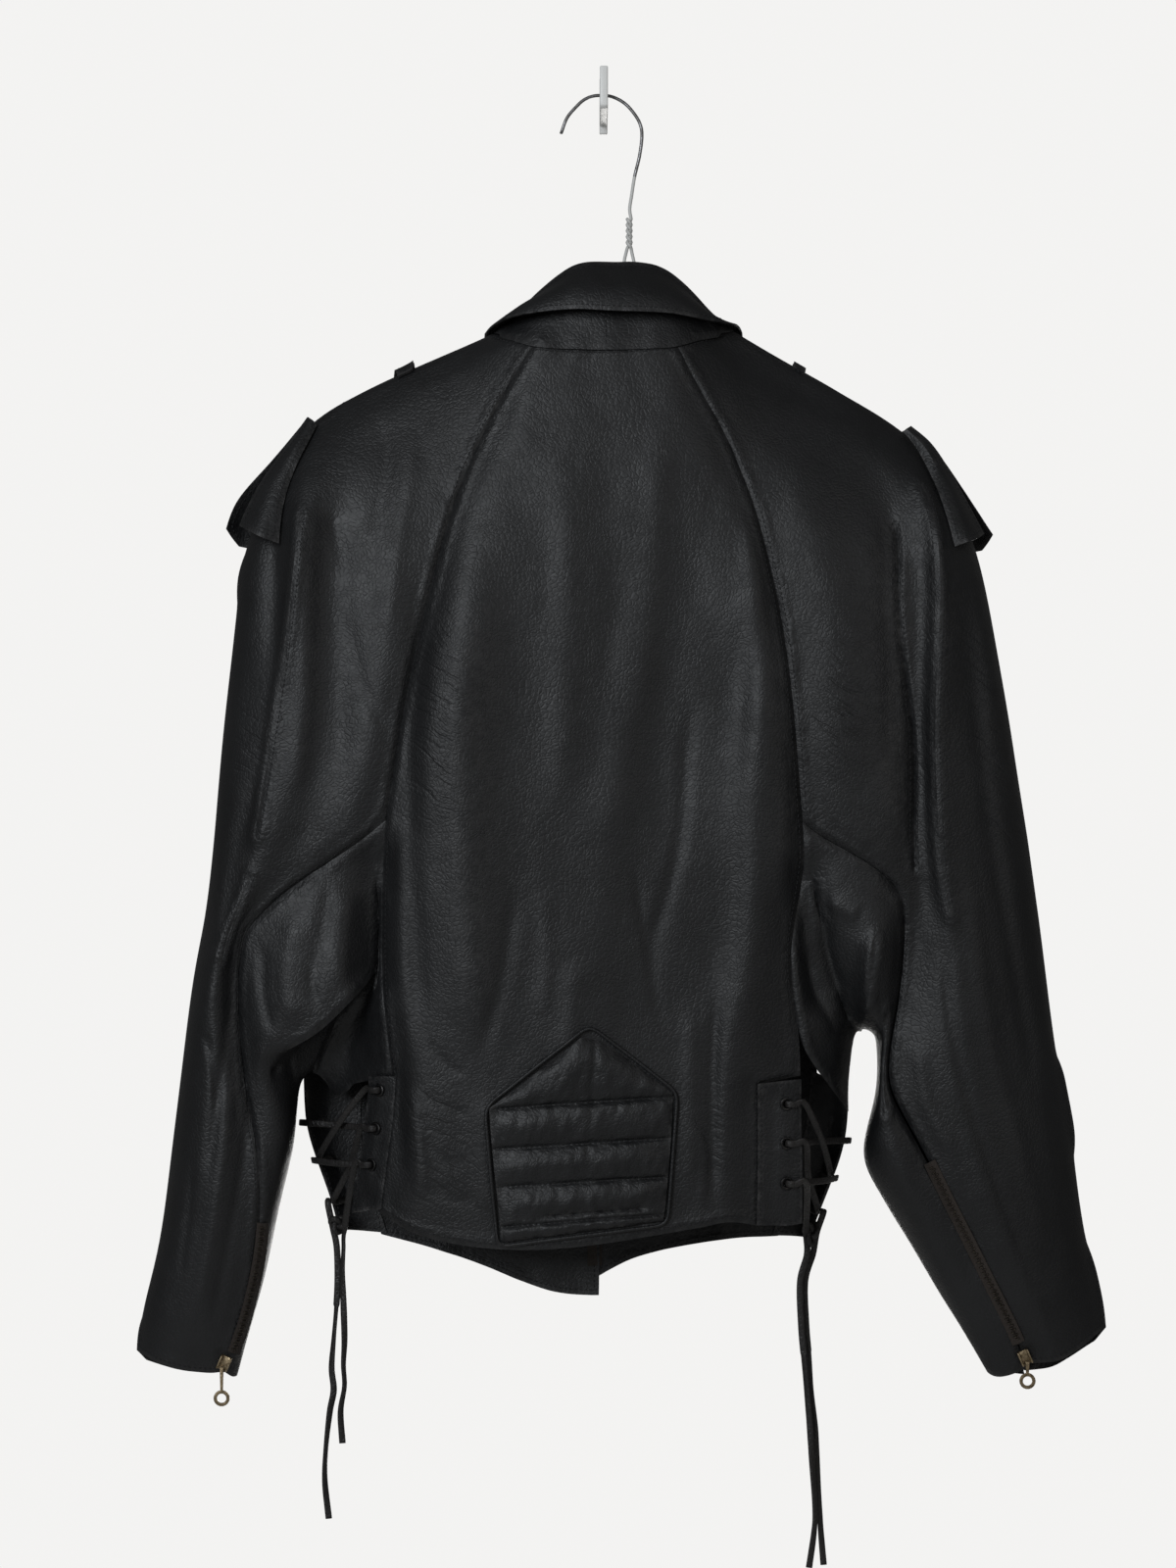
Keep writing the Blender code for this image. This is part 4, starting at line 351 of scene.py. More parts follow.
# Side laces. Each run starts at the free end and goes up through the eyelets, in tenths of a millimetre.
laceStrip = {
    "width": 0.0046, "thick": 0.0020, "gap": 0.0020, "sides": 10,
    "square": (0.45, 0.6),              # how square the section is across and through
    "waves": 34.0, "freeEnd": 0.15,     # it turns to and fro, mostly along its free end
    "facing": 0.6}                      # how soon its flat side turns to the viewer
laceRuns = {
    "lace_left_back": [
        (-1829, -380, -9304), (-1842, -380, -9084), (-1815, -380, -8906), (-1822, -380, -8755),
        (-1815, -380, -8577), (-1822, -380, -8316), (-1829, -380, -8117), (-1822, -380, -7946),
        (-1815, -380, -7801), (-1719, -688, -7315), (-1665, -766, -7305), (-1622, -806, -7301),
        (-1589, -781, -7302), (-1573, -743, -7304), (-1609, -710, -7311), (-1680, -657, -7318),
        (-1884, -517, -7325), (-2042, -317, -7332), (-2000, -222, -7349), (-1961, -164, -7354),
        (-1925, -183, -7345), (-1904, -216, -7334), (-1934, -261, -7325), (-1999, -338, -7318),
        (-1848, -548, -7059), (-1652, -698, -6800), (-1604, -777, -6792), (-1564, -817, -6788),
        (-1531, -792, -6790), (-1513, -755, -6793)],
    "lace_left_front": [
        (-1929, -330, -9845), (-1957, -330, -9577), (-1950, -330, -9357), (-1922, -330, -9095),
        (-1895, -330, -8944), (-1909, -330, -8786), (-1895, -330, -8586), (-1874, -330, -8325),
        (-1867, -330, -8126), (-1874, -330, -7933), (-1902, -330, -7795), (-1936, -316, -7620),
        (-1895, -226, -7637), (-1857, -173, -7644), (-1822, -193, -7635), (-1801, -226, -7624),
        (-1829, -267, -7617), (-1892, -339, -7610), (-1763, -487, -7337), (-1679, -697, -7064),
        (-1631, -776, -7054), (-1589, -817, -7050), (-1557, -792, -7052), (-1540, -754, -7055),
        (-1572, -723, -7061), (-1638, -668, -7067), (-1858, -461, -7068), (-2123, -315, -7068),
        (-2073, -216, -7080), (-2026, -154, -7086), (-1991, -176, -7085), (-1971, -211, -7082)],
    "lace_right_back": [
        (1436, -400, -10170), (1470, -400, -9930), (1477, -400, -9772), (1456, -400, -9416),
        (1442, -400, -9183), (1422, -400, -8943), (1401, -400, -8710), (1381, -400, -8470),
        (1374, -400, -8169), (1421, -410, -7975), (1414, -420, -7809), (1383, -869, -7420),
        (1308, -911, -7417), (1261, -925, -7415), (1242, -889, -7413), (1242, -848, -7412),
        (1284, -835, -7414), (1363, -823, -7418), (1523, -602, -7437), (1638, -320, -7456),
        (1613, -229, -7474), (1586, -173, -7481), (1549, -186, -7469), (1524, -216, -7455),
        (1543, -256, -7447), (1592, -334, -7440), (1507, -634, -7158), (1376, -873, -6877),
        (1304, -915, -6874), (1260, -929, -6872), (1240, -893, -6872), (1239, -852, -6872)],
    "lace_right_front": [
        (1543, -340, -10166), (1523, -340, -9925), (1516, -340, -9788), (1495, -340, -9430),
        (1481, -340, -9196), (1454, -340, -8956), (1440, -340, -8722), (1420, -340, -8481),
        (1413, -340, -8179), (1468, -340, -7986), (1495, -340, -7835), (1545, -320, -7690),
        (1519, -232, -7709), (1491, -179, -7715), (1455, -193, -7703), (1431, -224, -7689),
        (1450, -261, -7681), (1500, -335, -7674), (1417, -574, -7409), (1380, -873, -7144),
        (1306, -915, -7141), (1261, -929, -7140), (1241, -893, -7139), (1241, -852, -7140),
        (1282, -839, -7142), (1360, -827, -7145), (1518, -544, -7169), (1723, -321, -7193),
        (1702, -223, -7208), (1675, -160, -7215), (1637, -174, -7208), (1610, -204, -7200)]}


def flatCord(name, line, look, finish, turnRate):  # a flat strip that turns slowly about its own line
    points = []
    last = len(line) - 1
    side = None
    run = 0.0
    sides = look["sides"]
    for i, p in enumerate(line):
        p = Vector(p)
        along = (Vector(line[min(i + 1, last)]) - Vector(line[max(i - 1, 0)])).normalized()
        if side is None:
            side = (Vector((1, 0, 0)) - along * along.x).normalized()
        side = (side - along * side.dot(along)).normalized()
        if i:
            run += (p - Vector(line[i - 1])).length
        flat = along.cross(Vector((0, 1, 0)))
        if flat.length > 0.5:
            side = (side + flat.normalized() * math.copysign(look["facing"], side.dot(flat))).normalized()
        twist = turnRate * math.sin(run * look["waves"]) * (1.0 if run < look["freeEnd"] else 0.15)
        turned = Matrix.Rotation(twist, 3, along) @ side
        up = along.cross(turned)
        for k in range(sides):
            a = 2 * math.pi * k / sides
            wide = math.copysign(abs(math.cos(a)) ** look["square"][0], math.cos(a)) * look["width"] / 2
            deep = math.copysign(abs(math.sin(a)) ** look["square"][1], math.sin(a)) * look["thick"] / 2
            points.append(p + turned * wide + up * deep)
    return newPiece(name, points, tubeFaces(last, sides), finish)


for name, run in laceRuns.items():
    line = smoothLine([[c / 10000 for c in p] for p in run], laceStrip["gap"])
    lace = flatCord(name + "_strip", line, laceStrip, laceLeather, 1.1 if "left" in name else 0.9)
    rideAs(lace, "lace_leather", name)

# Knots that draw each pair together at the hem: middle in metres, size across and down
knots = {"leftKnot": ((-0.1862, -0.0355, -0.7775), (1.9, 1.9)),
         "rightKnot": ((0.1452, -0.0380, -0.7830), (1.6, 2.8))}
for name, (middle, (wide, high)) in knots.items():
    loop = []
    for k in range(72):
        t = 2 * math.pi * k / 71
        loop.append(Vector(middle) + 0.001 * Vector((
            wide * (math.sin(t) + 2 * math.sin(2 * t)), -2.2 * math.sin(3 * t),
            high * (math.cos(t) - 2 * math.cos(2 * t)))))
    rideAs(tubeAlong(name, loop, 0.0021, 10, laceLeather), "lace_leather")
print("stage: camera, lights and laces")


# Folds as seen in the photograph: (rise in mm, (softness left, right) in pixels, run from top to bottom)
foldSet = [
    (-1.2, (4, 6), [(355, 630), (363, 670), (373, 705), (399, 752)]),
    (-1.1, (5, 5), [(387, 420), (395, 470), (383, 540), (371, 610)]),
    (1.2, (9, 9), [(419, 430), (415, 500), (403, 580), (395, 660)]),
    (-1.2, (5, 5), [(337, 520), (347, 560), (359, 590)]),
    (-1.4, (4, 7), [(205, 1048), (216, 1080), (222, 1135)]),
    (1.6, (9, 9), [(229, 860), (223, 930), (217, 1000), (209, 1060)]),
    (-1.4, (6, 6), [(240, 950), (233, 1040), (221, 1130), (210, 1220)]),
    (1.5, (8, 8), [(239, 1080), (229, 1180), (211, 1290), (197, 1360)]),
    (-1.3, (5, 7), [(257, 1110), (247, 1190), (231, 1280), (213, 1370)]),
    (1.2, (7, 7), [(269, 1150), (263, 1220), (247, 1310)]),
    (-1.0, (4, 4), [(197, 1180), (193, 1240), (183, 1310)]),
    (2.0, (10, 12), [(307, 925), (295, 970), (293, 1020), (307, 1050)]),
    (-1.6, (7, 7), [(337, 895), (329, 950), (319, 1000), (325, 1040)]),
    (1.6, (9, 9), [(359, 905), (352, 960), (347, 1010)]),
    (-1.4, (5, 5), [(269, 960), (269, 1010), (279, 1060)]),
    (1.6, (12, 14), [(966, 480), (972, 540), (975, 600), (972, 650), (968, 700), (962, 760)]),
    (-1.6, (8, 8), [(905, 500), (903, 600), (909, 700), (903, 800)]),
    (2.0, (12, 12), [(992, 570), (1007, 640), (1019, 720), (1037, 800), (1047, 880)]),
    (-1.7, (8, 8), [(992, 640), (999, 740), (1012, 850), (1029, 950), (1047, 1050), (1065, 1150)]),
    (1.7, (10, 10), [(982, 850), (995, 950), (1011, 1060), (1042, 1180), (1073, 1290)]),
    (-1.5, (6, 8), [(962, 930), (969, 1030), (991, 1130), (1025, 1230), (1063, 1325)]),
    (1.4, (8, 8), [(935, 1060), (947, 1130), (982, 1190)]),
    (-1.1, (5, 5), [(1067, 1080), (1082, 1180), (1099, 1270)]),
    (1.1, (6, 6), [(1053, 930), (1065, 1020), (1083, 1110)]),
    (-0.9, (3.5, 3.5), [(849, 640), (869, 660), (897, 668)]),
    (-0.9, (3.5, 3.5), [(847, 690), (869, 708), (899, 712)]),
    (-0.8, (3.5, 3.5), [(845, 745), (867, 755), (893, 752)]),
    (-0.8, (3.5, 3.5), [(843, 790), (865, 806), (887, 812)]),
    (1.5, (8, 8), [(845, 930), (853, 925), (879, 934)]),
    (-1.7, (6, 6), [(849, 930), (843, 955), (847, 980), (857, 1010), (865, 1040)]),
    (-1.3, (5, 5), [(823, 968), (832, 1010), (847, 1040), (857, 1062)]),
    (1.4, (8, 8), [(887, 950), (883, 1000), (891, 1040)]),
    (1.6, (18, 18), [(567, 420), (579, 560), (575, 720), (567, 860)]),
    (-1.5, (18, 18), [(611, 430), (627, 560), (625, 700), (607, 840)]),
    (1.4, (16, 16), [(675, 400), (671, 520), (663, 640), (647, 760)]),
    (1.2, (9, 9), [(811, 700), (807, 800), (805, 900)]),
    (-1.3, (8, 8), [(527, 900), (512, 1000), (487, 1090)]),
    (1.1, (9, 9), [(552, 900), (559, 980), (552, 1050)]),
    (-1.0, (5, 5), [(647, 880), (659, 960), (675, 1050)]),
    (-0.9, (4, 4), [(437, 1060), (453, 1085), (477, 1100)]),
    (-0.9, (4, 4), [(431, 1110), (451, 1130), (481, 1138)]),
    (-0.9, (4, 4), [(427, 1160), (447, 1180), (477, 1190)]),
    (-0.9, (4, 4), [(431, 1205), (457, 1222), (489, 1228)]),
    (0.9, (5, 5), [(707, 1140), (719, 1180), (715, 1240)]),
    (-0.8, (4, 4), [(640, 322), (660, 334), (690, 350)]),
    (-0.7, (4, 4), [(655, 322), (676, 330), (706, 342)]),
    (-0.6, (4, 4), [(600, 326), (580, 338), (560, 346)]),
    (-1.7, (12, 18), [(344, 510), (346, 620), (346, 720), (340, 810)]),
    (-3.0, (10, 13), [(432, 560), (426, 650), (421, 760), (420, 880), (426, 1000), (432, 1100)]),
    (5.2, (24, 34), [(494, 520), (480, 620), (474, 740), (473, 880), (480, 1020), (488, 1110)]),
    (-4.8, (34, 19), [(770, 600), (760, 680), (752, 760), (748, 860), (744, 960), (736, 1060)]),
    (-1.6, (7, 6), [(712, 700), (702, 760), (696, 850), (680, 920), (668, 960), (674, 1020)]),
    (2.8, (18, 11), [(802, 620), (799, 750), (800, 850), (796, 940)]),
    (-2.0, (7, 7), [(732, 1000), (728, 1100), (728, 1240)]),
    (1.5, (10, 7), [(706, 1010), (706, 1110), (706, 1230)]),
    (1.6, (14, 12), [(586, 980), (582, 1050), (590, 1090)]),
    (1.8, (20, 24), [(640, 620), (630, 760), (620, 880)]),
    (-1.4, (8, 8), [(405, 1080), (410, 1150), (412, 1220)]),
    (1.8, (12, 10), [(498, 1110), (496, 1180), (500, 1250)]),
    (-4.6, (12, 14), [(278, 500), (285, 580), (285, 640), (282, 700), (273, 770), (255, 840), (247, 900)]),
    (2.8, (12, 11), [(318, 480), (318, 560), (316, 640), (313, 710), (306, 780), (296, 840)]),
    (-2.8, (13, 15), [(940, 500), (942, 600), (944, 680), (946, 760), (947, 840), (941, 950)]),
    (5.2, (30, 17), [(906, 510), (912, 590), (916, 660), (917, 740), (914, 820), (906, 900)]),
    (-7.0, (26, 12), [(393, 845), (389, 900), (386, 960), (384, 1030)]),
    (-7.0, (11, 22), [(816, 860), (820, 920), (828, 985), (840, 1050)]),
    (2.0, (10, 8), [(420, 1110), (428, 1170), (430, 1230)])]
foldEnds = 0.22                                   # share of a run over which it fades out
hiddenFolds = {"shift": (9, 26), "share": 0.8}    # the wall side has like folds in other places
halves = {"at": 0.045, "seenOver": 0.022, "hiddenOver": 0.018}   # depth where the two sides meet
rippleSet = {
    "rise": 0.45, "long": 0.085, "wide": 0.030, "waves": 26,
    "pucker": 0.35, "puckerLong": 0.016, "puckerAcross": 0.011, "puckerWaves": 30, "puckerWide": 0.006}


def softStep(x):
    x = np.clip(x, 0, 1)
    return x * x * (3 - 2 * x)


def foldRise(spots, folds):
    rise = np.zeros(len(spots))
    for height, soft, run in folds:
        line = np.array(smoothLine(run, 10.0))
        reach = 3 * max(soft)                       # beyond this nothing rises
        near = np.where(np.all((spots > line.min(0) - reach) & (spots < line.max(0) + reach), axis=1))[0]
        if not len(near):
            continue
        best = np.full(len(near), 1e9)
        share = np.zeros(len(near))
        right = np.zeros(len(near), bool)
        steps = np.linalg.norm(np.diff(line, axis=0), axis=1)
        gone = np.concatenate(([0], np.cumsum(steps)))
        for k, (a, b) in enumerate(zip(line, line[1:])):
            step = b - a
            t = np.clip(((spots[near] - a) @ step) / (step @ step), 0, 1)
            away = spots[near] - a - t[:, None] * step
            far = np.hypot(away[:, 0], away[:, 1])
            closer = far < best
            best = np.where(closer, far, best)
            share = np.where(closer, (gone[k] + t * steps[k]) / gone[-1], share)
            right = np.where(closer, step[0] * away[:, 1] - step[1] * away[:, 0] < 0, right)
        wide = np.where(right, soft[1], soft[0])
        ends = softStep(share / foldEnds) * softStep((1 - share) / foldEnds)
        rise[near] += height * 0.001 * np.exp(-(best / wide) ** 2) * ends
    return rise


def ripples(points, seed, long, wide, waves):  # soft uneven waves, longer up and down than across
    random = np.random.default_rng(seed)
    rise = np.zeros(len(points))
    for _ in range(waves):
        size = random.uniform(0.6, 1.8)
        wave = np.array((random.normal() / wide, random.normal() / wide, random.normal() / long)) / size
        rise += np.sin(points @ wave * 2.2 + random.uniform(0, 2 * math.pi)) * size
    return rise / math.sqrt(waves)


def refined(node, name, levels, finish, sharp=48.0):  # the node's own form with finer faces
    net = bmesh.new()
    net.from_mesh(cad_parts[node].data)
    bmesh.ops.remove_doubles(net, verts=net.verts, dist=1e-6)
    bmesh.ops.join_triangles(net, faces=net.faces, cmp_seam=False, cmp_sharp=False, cmp_uvs=False,
                             cmp_vcols=False, cmp_materials=False,
                             angle_face_threshold=math.radians(40),
                             angle_shape_threshold=math.radians(60))
    mark = net.edges.layers.float.new("crease_edge")
    for edge in net.edges:
        if len(edge.link_faces) == 2 and edge.calc_face_angle(0) > math.radians(sharp):
            edge[mark] = 1.0
    corner = net.verts.layers.float.new("crease_vert")
    for vert in net.verts:
        ways = [(e.other_vert(vert).co - vert.co).normalized() for e in vert.link_edges if e[mark] > 0.5]
        if len(ways) == 2 and ways[0].dot(ways[1]) > -0.85:
            vert[corner] = 1.0
    return pieceFrom(net, name, finish, "SUBSURF", levels=levels, render_levels=levels)


def pointsOf(piece):
    points = np.empty(len(piece.data.vertices) * 3)
    piece.data.vertices.foreach_get("co", points)
    return points.reshape(-1, 3)


def setPoints(piece, points):
    piece.data.vertices.foreach_set("co", points.ravel())
    piece.data.update()


def rimFacts(piece, points, sharp=42.0):  # distance to the cut edge, and the way out over it
    net = bmesh.new()
    net.from_mesh(piece.data)
    rim = set()
    for edge in net.edges:
        if len(edge.link_faces) == 2 and edge.calc_face_angle(0) > math.radians(sharp):
            edge.smooth = False
            rim.update(v.index for v in edge.verts)
    area = {}
    group = {}
    for face in net.faces:
        if face in group:
            continue
        group[face] = face.index
        area[face.index] = 0.0
        waiting = [face]
        while waiting:
            here = waiting.pop()
            area[face.index] += here.calc_area()
            for edge in here.edges:
                if edge.smooth:
                    for other in edge.link_faces:
                        if other not in group:
                            group[other] = face.index
                            waiting.append(other)
    most = max(area.values())
    out = np.zeros((len(points), 3))
    for face, key in group.items():
        if area[key] < 0.45 * most:
            for vert in face.verts:
                out[vert.index] += face.normal * face.calc_area()
    net.to_mesh(piece.data)
    net.free()
    if not rim:
        return np.full(len(points), 1.0), out
    tree = KDTree(len(rim))
    for k in rim:
        tree.insert(points[k], k)
    tree.balance()
    found = [tree.find(p) for p in points]
    out = out[[f[1] for f in found]]
    return np.array([f[2] for f in found]), out / np.maximum(np.linalg.norm(out, axis=1), 1e-12)[:, None]


# Small moves that lay one piece over its neighbour. A strip has its stitched edge as (down, across), the
# way it moves aside and out in metres, and the height of its top edge.
stripEdges = {
    "leftBackStrip": ([(1103, 400), (1145, 397), (1185, 391), (1234, 385)], 0.003, -0.0027, 1103),
    "rightBackStrip": ([(1110, 778), (1145, 778), (1185, 778), (1250, 777)], -0.003, -0.0027, 1108),
    "leftFrontStrip": ([(1107, 364), (1145, 361), (1185, 367), (1222, 377), (1258, 389)],
                       0.0045, -0.0006, 0),
    "rightFrontStrip": ([(1092, 835), (1145, 831), (1185, 821), (1222, 809), (1261, 795)],
                        -0.0045, -0.0006, 0)}
standEdge = ((503, 560, 621, 690, 745), (340, 350, 355, 350, 339))


def layOver(name, points):
    across, down = spotsOf(points).T
    if name in stripEdges:
        line, aside, out, top = stripEdges[name]
        edge = np.interp(down, [p[0] for p in line], [p[1] for p in line])
        near = softStep(1 - np.abs(across - edge) / 11)
        above = softStep((top + 10 - down) / 10)
        points[:, 0] += aside * near
        points[:, 1] += out * np.maximum(near, above)
        points[:, 2] += 0.003 * above
    elif name == "leftFront":
        near = softStep((across - 592) / 14)
        points[:, 0] += 0.0035 * near
        points[:, 1] -= 0.0018 * near
    elif name == "leftUnderSleeve":
        near = softStep((down - 1068) / 22) * softStep((across - 296) / 8) * softStep((362 - across) / 8)
        points[:, 2] -= 0.0038 * near
    elif name == "rightUnderSleeve":
        points[:, 2] -= 0.003 * softStep((down - 1050) / 40) * (across > 812)
    elif name == "collarStand":
        near = softStep((down - np.interp(across, *standEdge) + 8) / 7) * (points[:, 1] < -0.06)
        points[:, 2] -= 0.0026 * near
        points[:, 1] -= 0.0012 * near + 0.0022 * (points[:, 1] < -0.055)


# Where fine slanting wrinkles show: runs with a reach in pixels
wrinkled = [(34, [(862, 640), (866, 720), (856, 800)]), (26, [(452, 600), (446, 720), (440, 860)]),
            (30, [(430, 1100), (450, 1180), (470, 1230)]), (22, [(262, 700), (258, 800)]),
            (24, [(985, 620), (1010, 760), (1030, 900)]), (22, [(720, 1120), (722, 1200)])]
seamLook = {
    "join": 0.00045, "joinWide": 0.0022,          # how far a sewn edge reaches under its neighbour
    "dent": 0.0008, "dentWide": 0.0013,
    "puff": 0.00025, "puffAt": 0.004, "puffWide": 0.0025,
    "wornWide": 0.0016, "gatherWide": 0.0035}


def bell(x, wide):
    return np.exp(-(x / wide) ** 2)


def pressFolds(piece, share, sewn):
    points = pointsOf(piece)
    spots = spotsOf(points)
    layOver(piece.name, points)
    edge, out = rimFacts(piece, points)
    seen = softStep((-points[:, 1] - halves["at"]) / halves["seenOver"])      # 1 on the side that shows
    hidden = softStep((points[:, 1] + halves["at"]) / halves["hiddenOver"])   # 1 on the wall side
    fold = foldRise(spots, foldSet) * share
    other = foldRise(spots - np.array(hiddenFolds["shift"]), foldSet) * hiddenFolds["share"] * share
    extra = ripples(points, 7, rippleSet["long"], rippleSet["wide"], rippleSet["waves"])
    extra *= rippleSet["rise"] * 0.001
    small = ripples(points, 11, rippleSet["puckerLong"], rippleSet["puckerAcross"], rippleSet["puckerWaves"])
    extra += small * rippleSet["pucker"] * 0.001 * (0.25 + np.exp(-edge / rippleSet["puckerWide"]))
    if sewn:
        extra += seamLook["puff"] * bell(edge - seamLook["puffAt"], seamLook["puffWide"])
        extra -= seamLook["dent"] * bell(edge, seamLook["dentWide"])
        points += out * (seamLook["join"] * bell(edge, seamLook["joinWide"]))[:, None]
    points[:, 1] -= (fold + extra) * seen
    points[:, 1] += (other + extra) * hidden
    setPoints(piece, points)
    layers = {
        "wear": np.clip(np.exp(-edge / seamLook["wornWide"]) * (0.3 if sewn else 0.7)
                        + np.clip(fold * seen, 0, None) / 0.0026 * 0.1, 0, 1),
        "gathered": bell(edge - seamLook["puffAt"], seamLook["gatherWide"]) * (1 if sewn else 0.4),
        "creased": np.clip(foldRise(spots, [(1000, (reach, reach), run) for reach, run in wrinkled]), 0, 1)}
    for key, values in layers.items():
        piece.data.attributes.new(key, "FLOAT", "POINT").data.foreach_set("value", values.astype(np.float32))
    return edge


# Leather pieces: name, node, finer steps, share of the folds, cut (width, length, area) and stitch inset
leatherPieces = {
    "backPanel": ("back_panel", 3, 1.05, (0.44, 0.62, 0.172), (0.0032,)),
    "leftSleeve": ("sleeve_left", 3, 1.05, (0.40, 0.74, 0.165), (0.0032,)),
    "rightSleeve": ("sleeve_right", 3, 1.05, (0.42, 0.74, 0.195), (0.0032,)),
    "leftUnderSleeve": ("under_sleeve_left", 3, 1.2, (0.20, 0.62, 0.052), ()),
    "rightUnderSleeve": ("under_sleeve_right", 3, 1.2, (0.20, 0.62, 0.053), ()),
    "leftFront": ("front_left", 3, 1.0, (0.22, 0.66, 0.088), (0.0032,)),
    "rightFront": ("front_right", 3, 1.0, (0.22, 0.66, 0.089), (0.0032,)),
    "collarFall": ("collar_fall", 2, 0.6, (0.46, 0.07, 0.021), (0.0034,)),
    "collarStand": ("collar_stand", 2, 0.6, (0.42, 0.05, 0.010), ()),
    "leftBackCap": ("cap_back_left", 3, 0.3, (0.04, 0.12, 0.0024), (0.0036,)),
    "leftFrontCap": ("cap_front_left", 3, 0.3, (0.05, 0.12, 0.0031), (0.0036,)),
    "rightBackCap": ("cap_back_right", 3, 0.3, (0.04, 0.12, 0.0024), (0.0036,)),
    "rightFrontCap": ("cap_front_right", 3, 0.3, (0.05, 0.12, 0.0029), (0.0036,)),
    "leftStrapEnd": ("shoulder_strap_left", 3, 0.3, (0.025, 0.035, 0.0006), (0.0026,)),
    "rightStrapEnd": ("shoulder_strap_right", 3, 0.3, (0.02, 0.03, 0.0004), (0.0026,)),
    "leftBackStrip": ("eyelet_strip_back_left", 2, 1.0, (0.03, 0.10, 0.0022), (0.0026,)),
    "rightBackStrip": ("eyelet_strip_back_right", 2, 1.0, (0.03, 0.10, 0.0028), (0.0026,)),
    "leftFrontStrip": ("eyelet_strip_front_left", 2, 1.0, (0.04, 0.11, 0.0036), (0.0026,)),
    "rightFrontStrip": ("eyelet_strip_front_right", 2, 1.0, (0.03, 0.11, 0.0026), (0.0026,))}
made = {}
edgeOf = {}
for name, (node, levels, share, cut, insets) in leatherPieces.items():
    piece = refined(node, name, levels, blackLeather)
    edgeOf[name] = pressFolds(piece, share, share >= 1.0 and "strip" not in node or "stand" in node)
    rideAs(piece, "black_leather", node)
    made[name] = piece
    area = sum(f.area for f in piece.data.polygons) / 2
    print("piece", name, len(piece.data.polygons), "faces", round(area, 4), "m2")
print("stage: leather pieces")

quiltRows = {
    "first": [(503, 1133), (560, 1128), (620, 1124), (684, 1120)],
    "second": [(505, 1173), (560, 1170), (620, 1166), (683, 1162)],
    "third": [(508, 1212), (560, 1209), (620, 1205), (681, 1202)],
    "fourth": [(511, 1253), (560, 1249), (620, 1244), (679, 1240)]}
padLook = {
    "puff": 0.0024, "rowWide": 7, "edgeWide": 0.0035,      # widths across in pixels, over the edge in metres
    "groove": 0.0009, "grooveWide": 2.3,
    "mottle": 0.00035, "mottleWide": 5,
    "middle": 604, "middleLean": 0.06, "middleWide": 4, "middleDeep": (0.0009, 0.0004),
    "gatherWide": 10}
quiltPad = refined("waist_patch", "quiltPad", 4, blackLeather)
edge = pressFolds(quiltPad, 1.05, False)
points = pointsOf(quiltPad)
across, down = spotsOf(points).T
away = np.min([np.abs(down - np.interp(across, *zip(*run))) for run in quiltRows.values()], axis=0)
puff = padLook["puff"] * (1 - np.exp(-away / padLook["rowWide"])) * (1 - np.exp(-edge / padLook["edgeWide"]))
puff -= padLook["groove"] * bell(away, padLook["grooveWide"])
puff *= 1 + 0.25 * np.sin(across / 7.0 + down / 19.0) * np.exp(-away / 9)
mottle = ripples(points, 23, 0.009, 0.007, 40) * np.clip(away / padLook["mottleWide"], 0, 1)
puff += padLook["mottle"] * mottle
upper, lower = padLook["middleDeep"]       # the crease down the middle is deeper above
offMiddle = across - padLook["middle"] + (down - 1130) * padLook["middleLean"]
puff -= (upper - (upper - lower) * softStep((down - 1110) / 60)) * bell(offMiddle, padLook["middleWide"])
points[:, 1] -= puff
drawnIn = np.clip(0.25 + bell(away, padLook["gatherWide"]), 0, 1).astype(np.float32)
quiltPad.data.attributes["gathered"].data.foreach_set("value", drawnIn)
setPoints(quiltPad, points)
rideAs(quiltPad, "black_leather", "waist_patch")
padPiping = refined("patch_piping", "padPiping", 2, blackLeather, 80)
pressFolds(padPiping, 1.05, False)
rideAs(padPiping, "black_leather", "patch_piping")
made.update(quiltPad=quiltPad, padPiping=padPiping)


# What shows of the pieces so far, for laying stitches and teeth on them
def treeOf(pieces):
    points, faces = [], []
    for piece in pieces:
        base = len(points)
        points += [v.co.copy() for v in piece.data.vertices]
        faces += [[base + k for k in f.vertices] for f in piece.data.polygons]
    return BVHTree.FromPolygons(points, faces)


skin = treeOf(made.values())
wallEye = Vector((0.0, 2.05, -0.47))
stitchLook = {"pitch": 0.0036, "long": 0.0025, "thick": 0.00036, "sides": 5, "lift": 0.00010,
              "clear": 0.0008, "gap": 0.02}


def shows(point, normal):  # seen from in front, or from the wall's side
    for place in (eye, wallEye):
        aim = place - point
        if normal.dot(aim.normalized()) < 0.12:
            continue
        if skin.ray_cast(point + normal * stitchLook["clear"], aim.normalized())[0] is None:
            return True
    return False


def stitchMesh(name, rows):  # rows of (point, along, normal)
    points, faces = [], []
    count = stitchLook["sides"]
    for point, along, normal in rows:
        side = along.cross(normal).normalized()
        base = len(points)
        for t, wide, deep in ((-0.5, 0.5, -0.9), (-0.28, 1.0, 0.1), (0.28, 1.0, 0.1), (0.5, 0.5, -0.9)):
            middle = point + along * t * stitchLook["long"] + normal * (stitchLook["lift"]
                                                                       + deep * stitchLook["thick"])
            for k in range(count):
                a = 2 * math.pi * k / count
                points.append(middle + (side * math.cos(a) + normal * math.sin(a))
                              * stitchLook["thick"] * wide)
        faces += tubeFaces(3, count, base)
    return newPiece(name, points, faces, threadBlack)


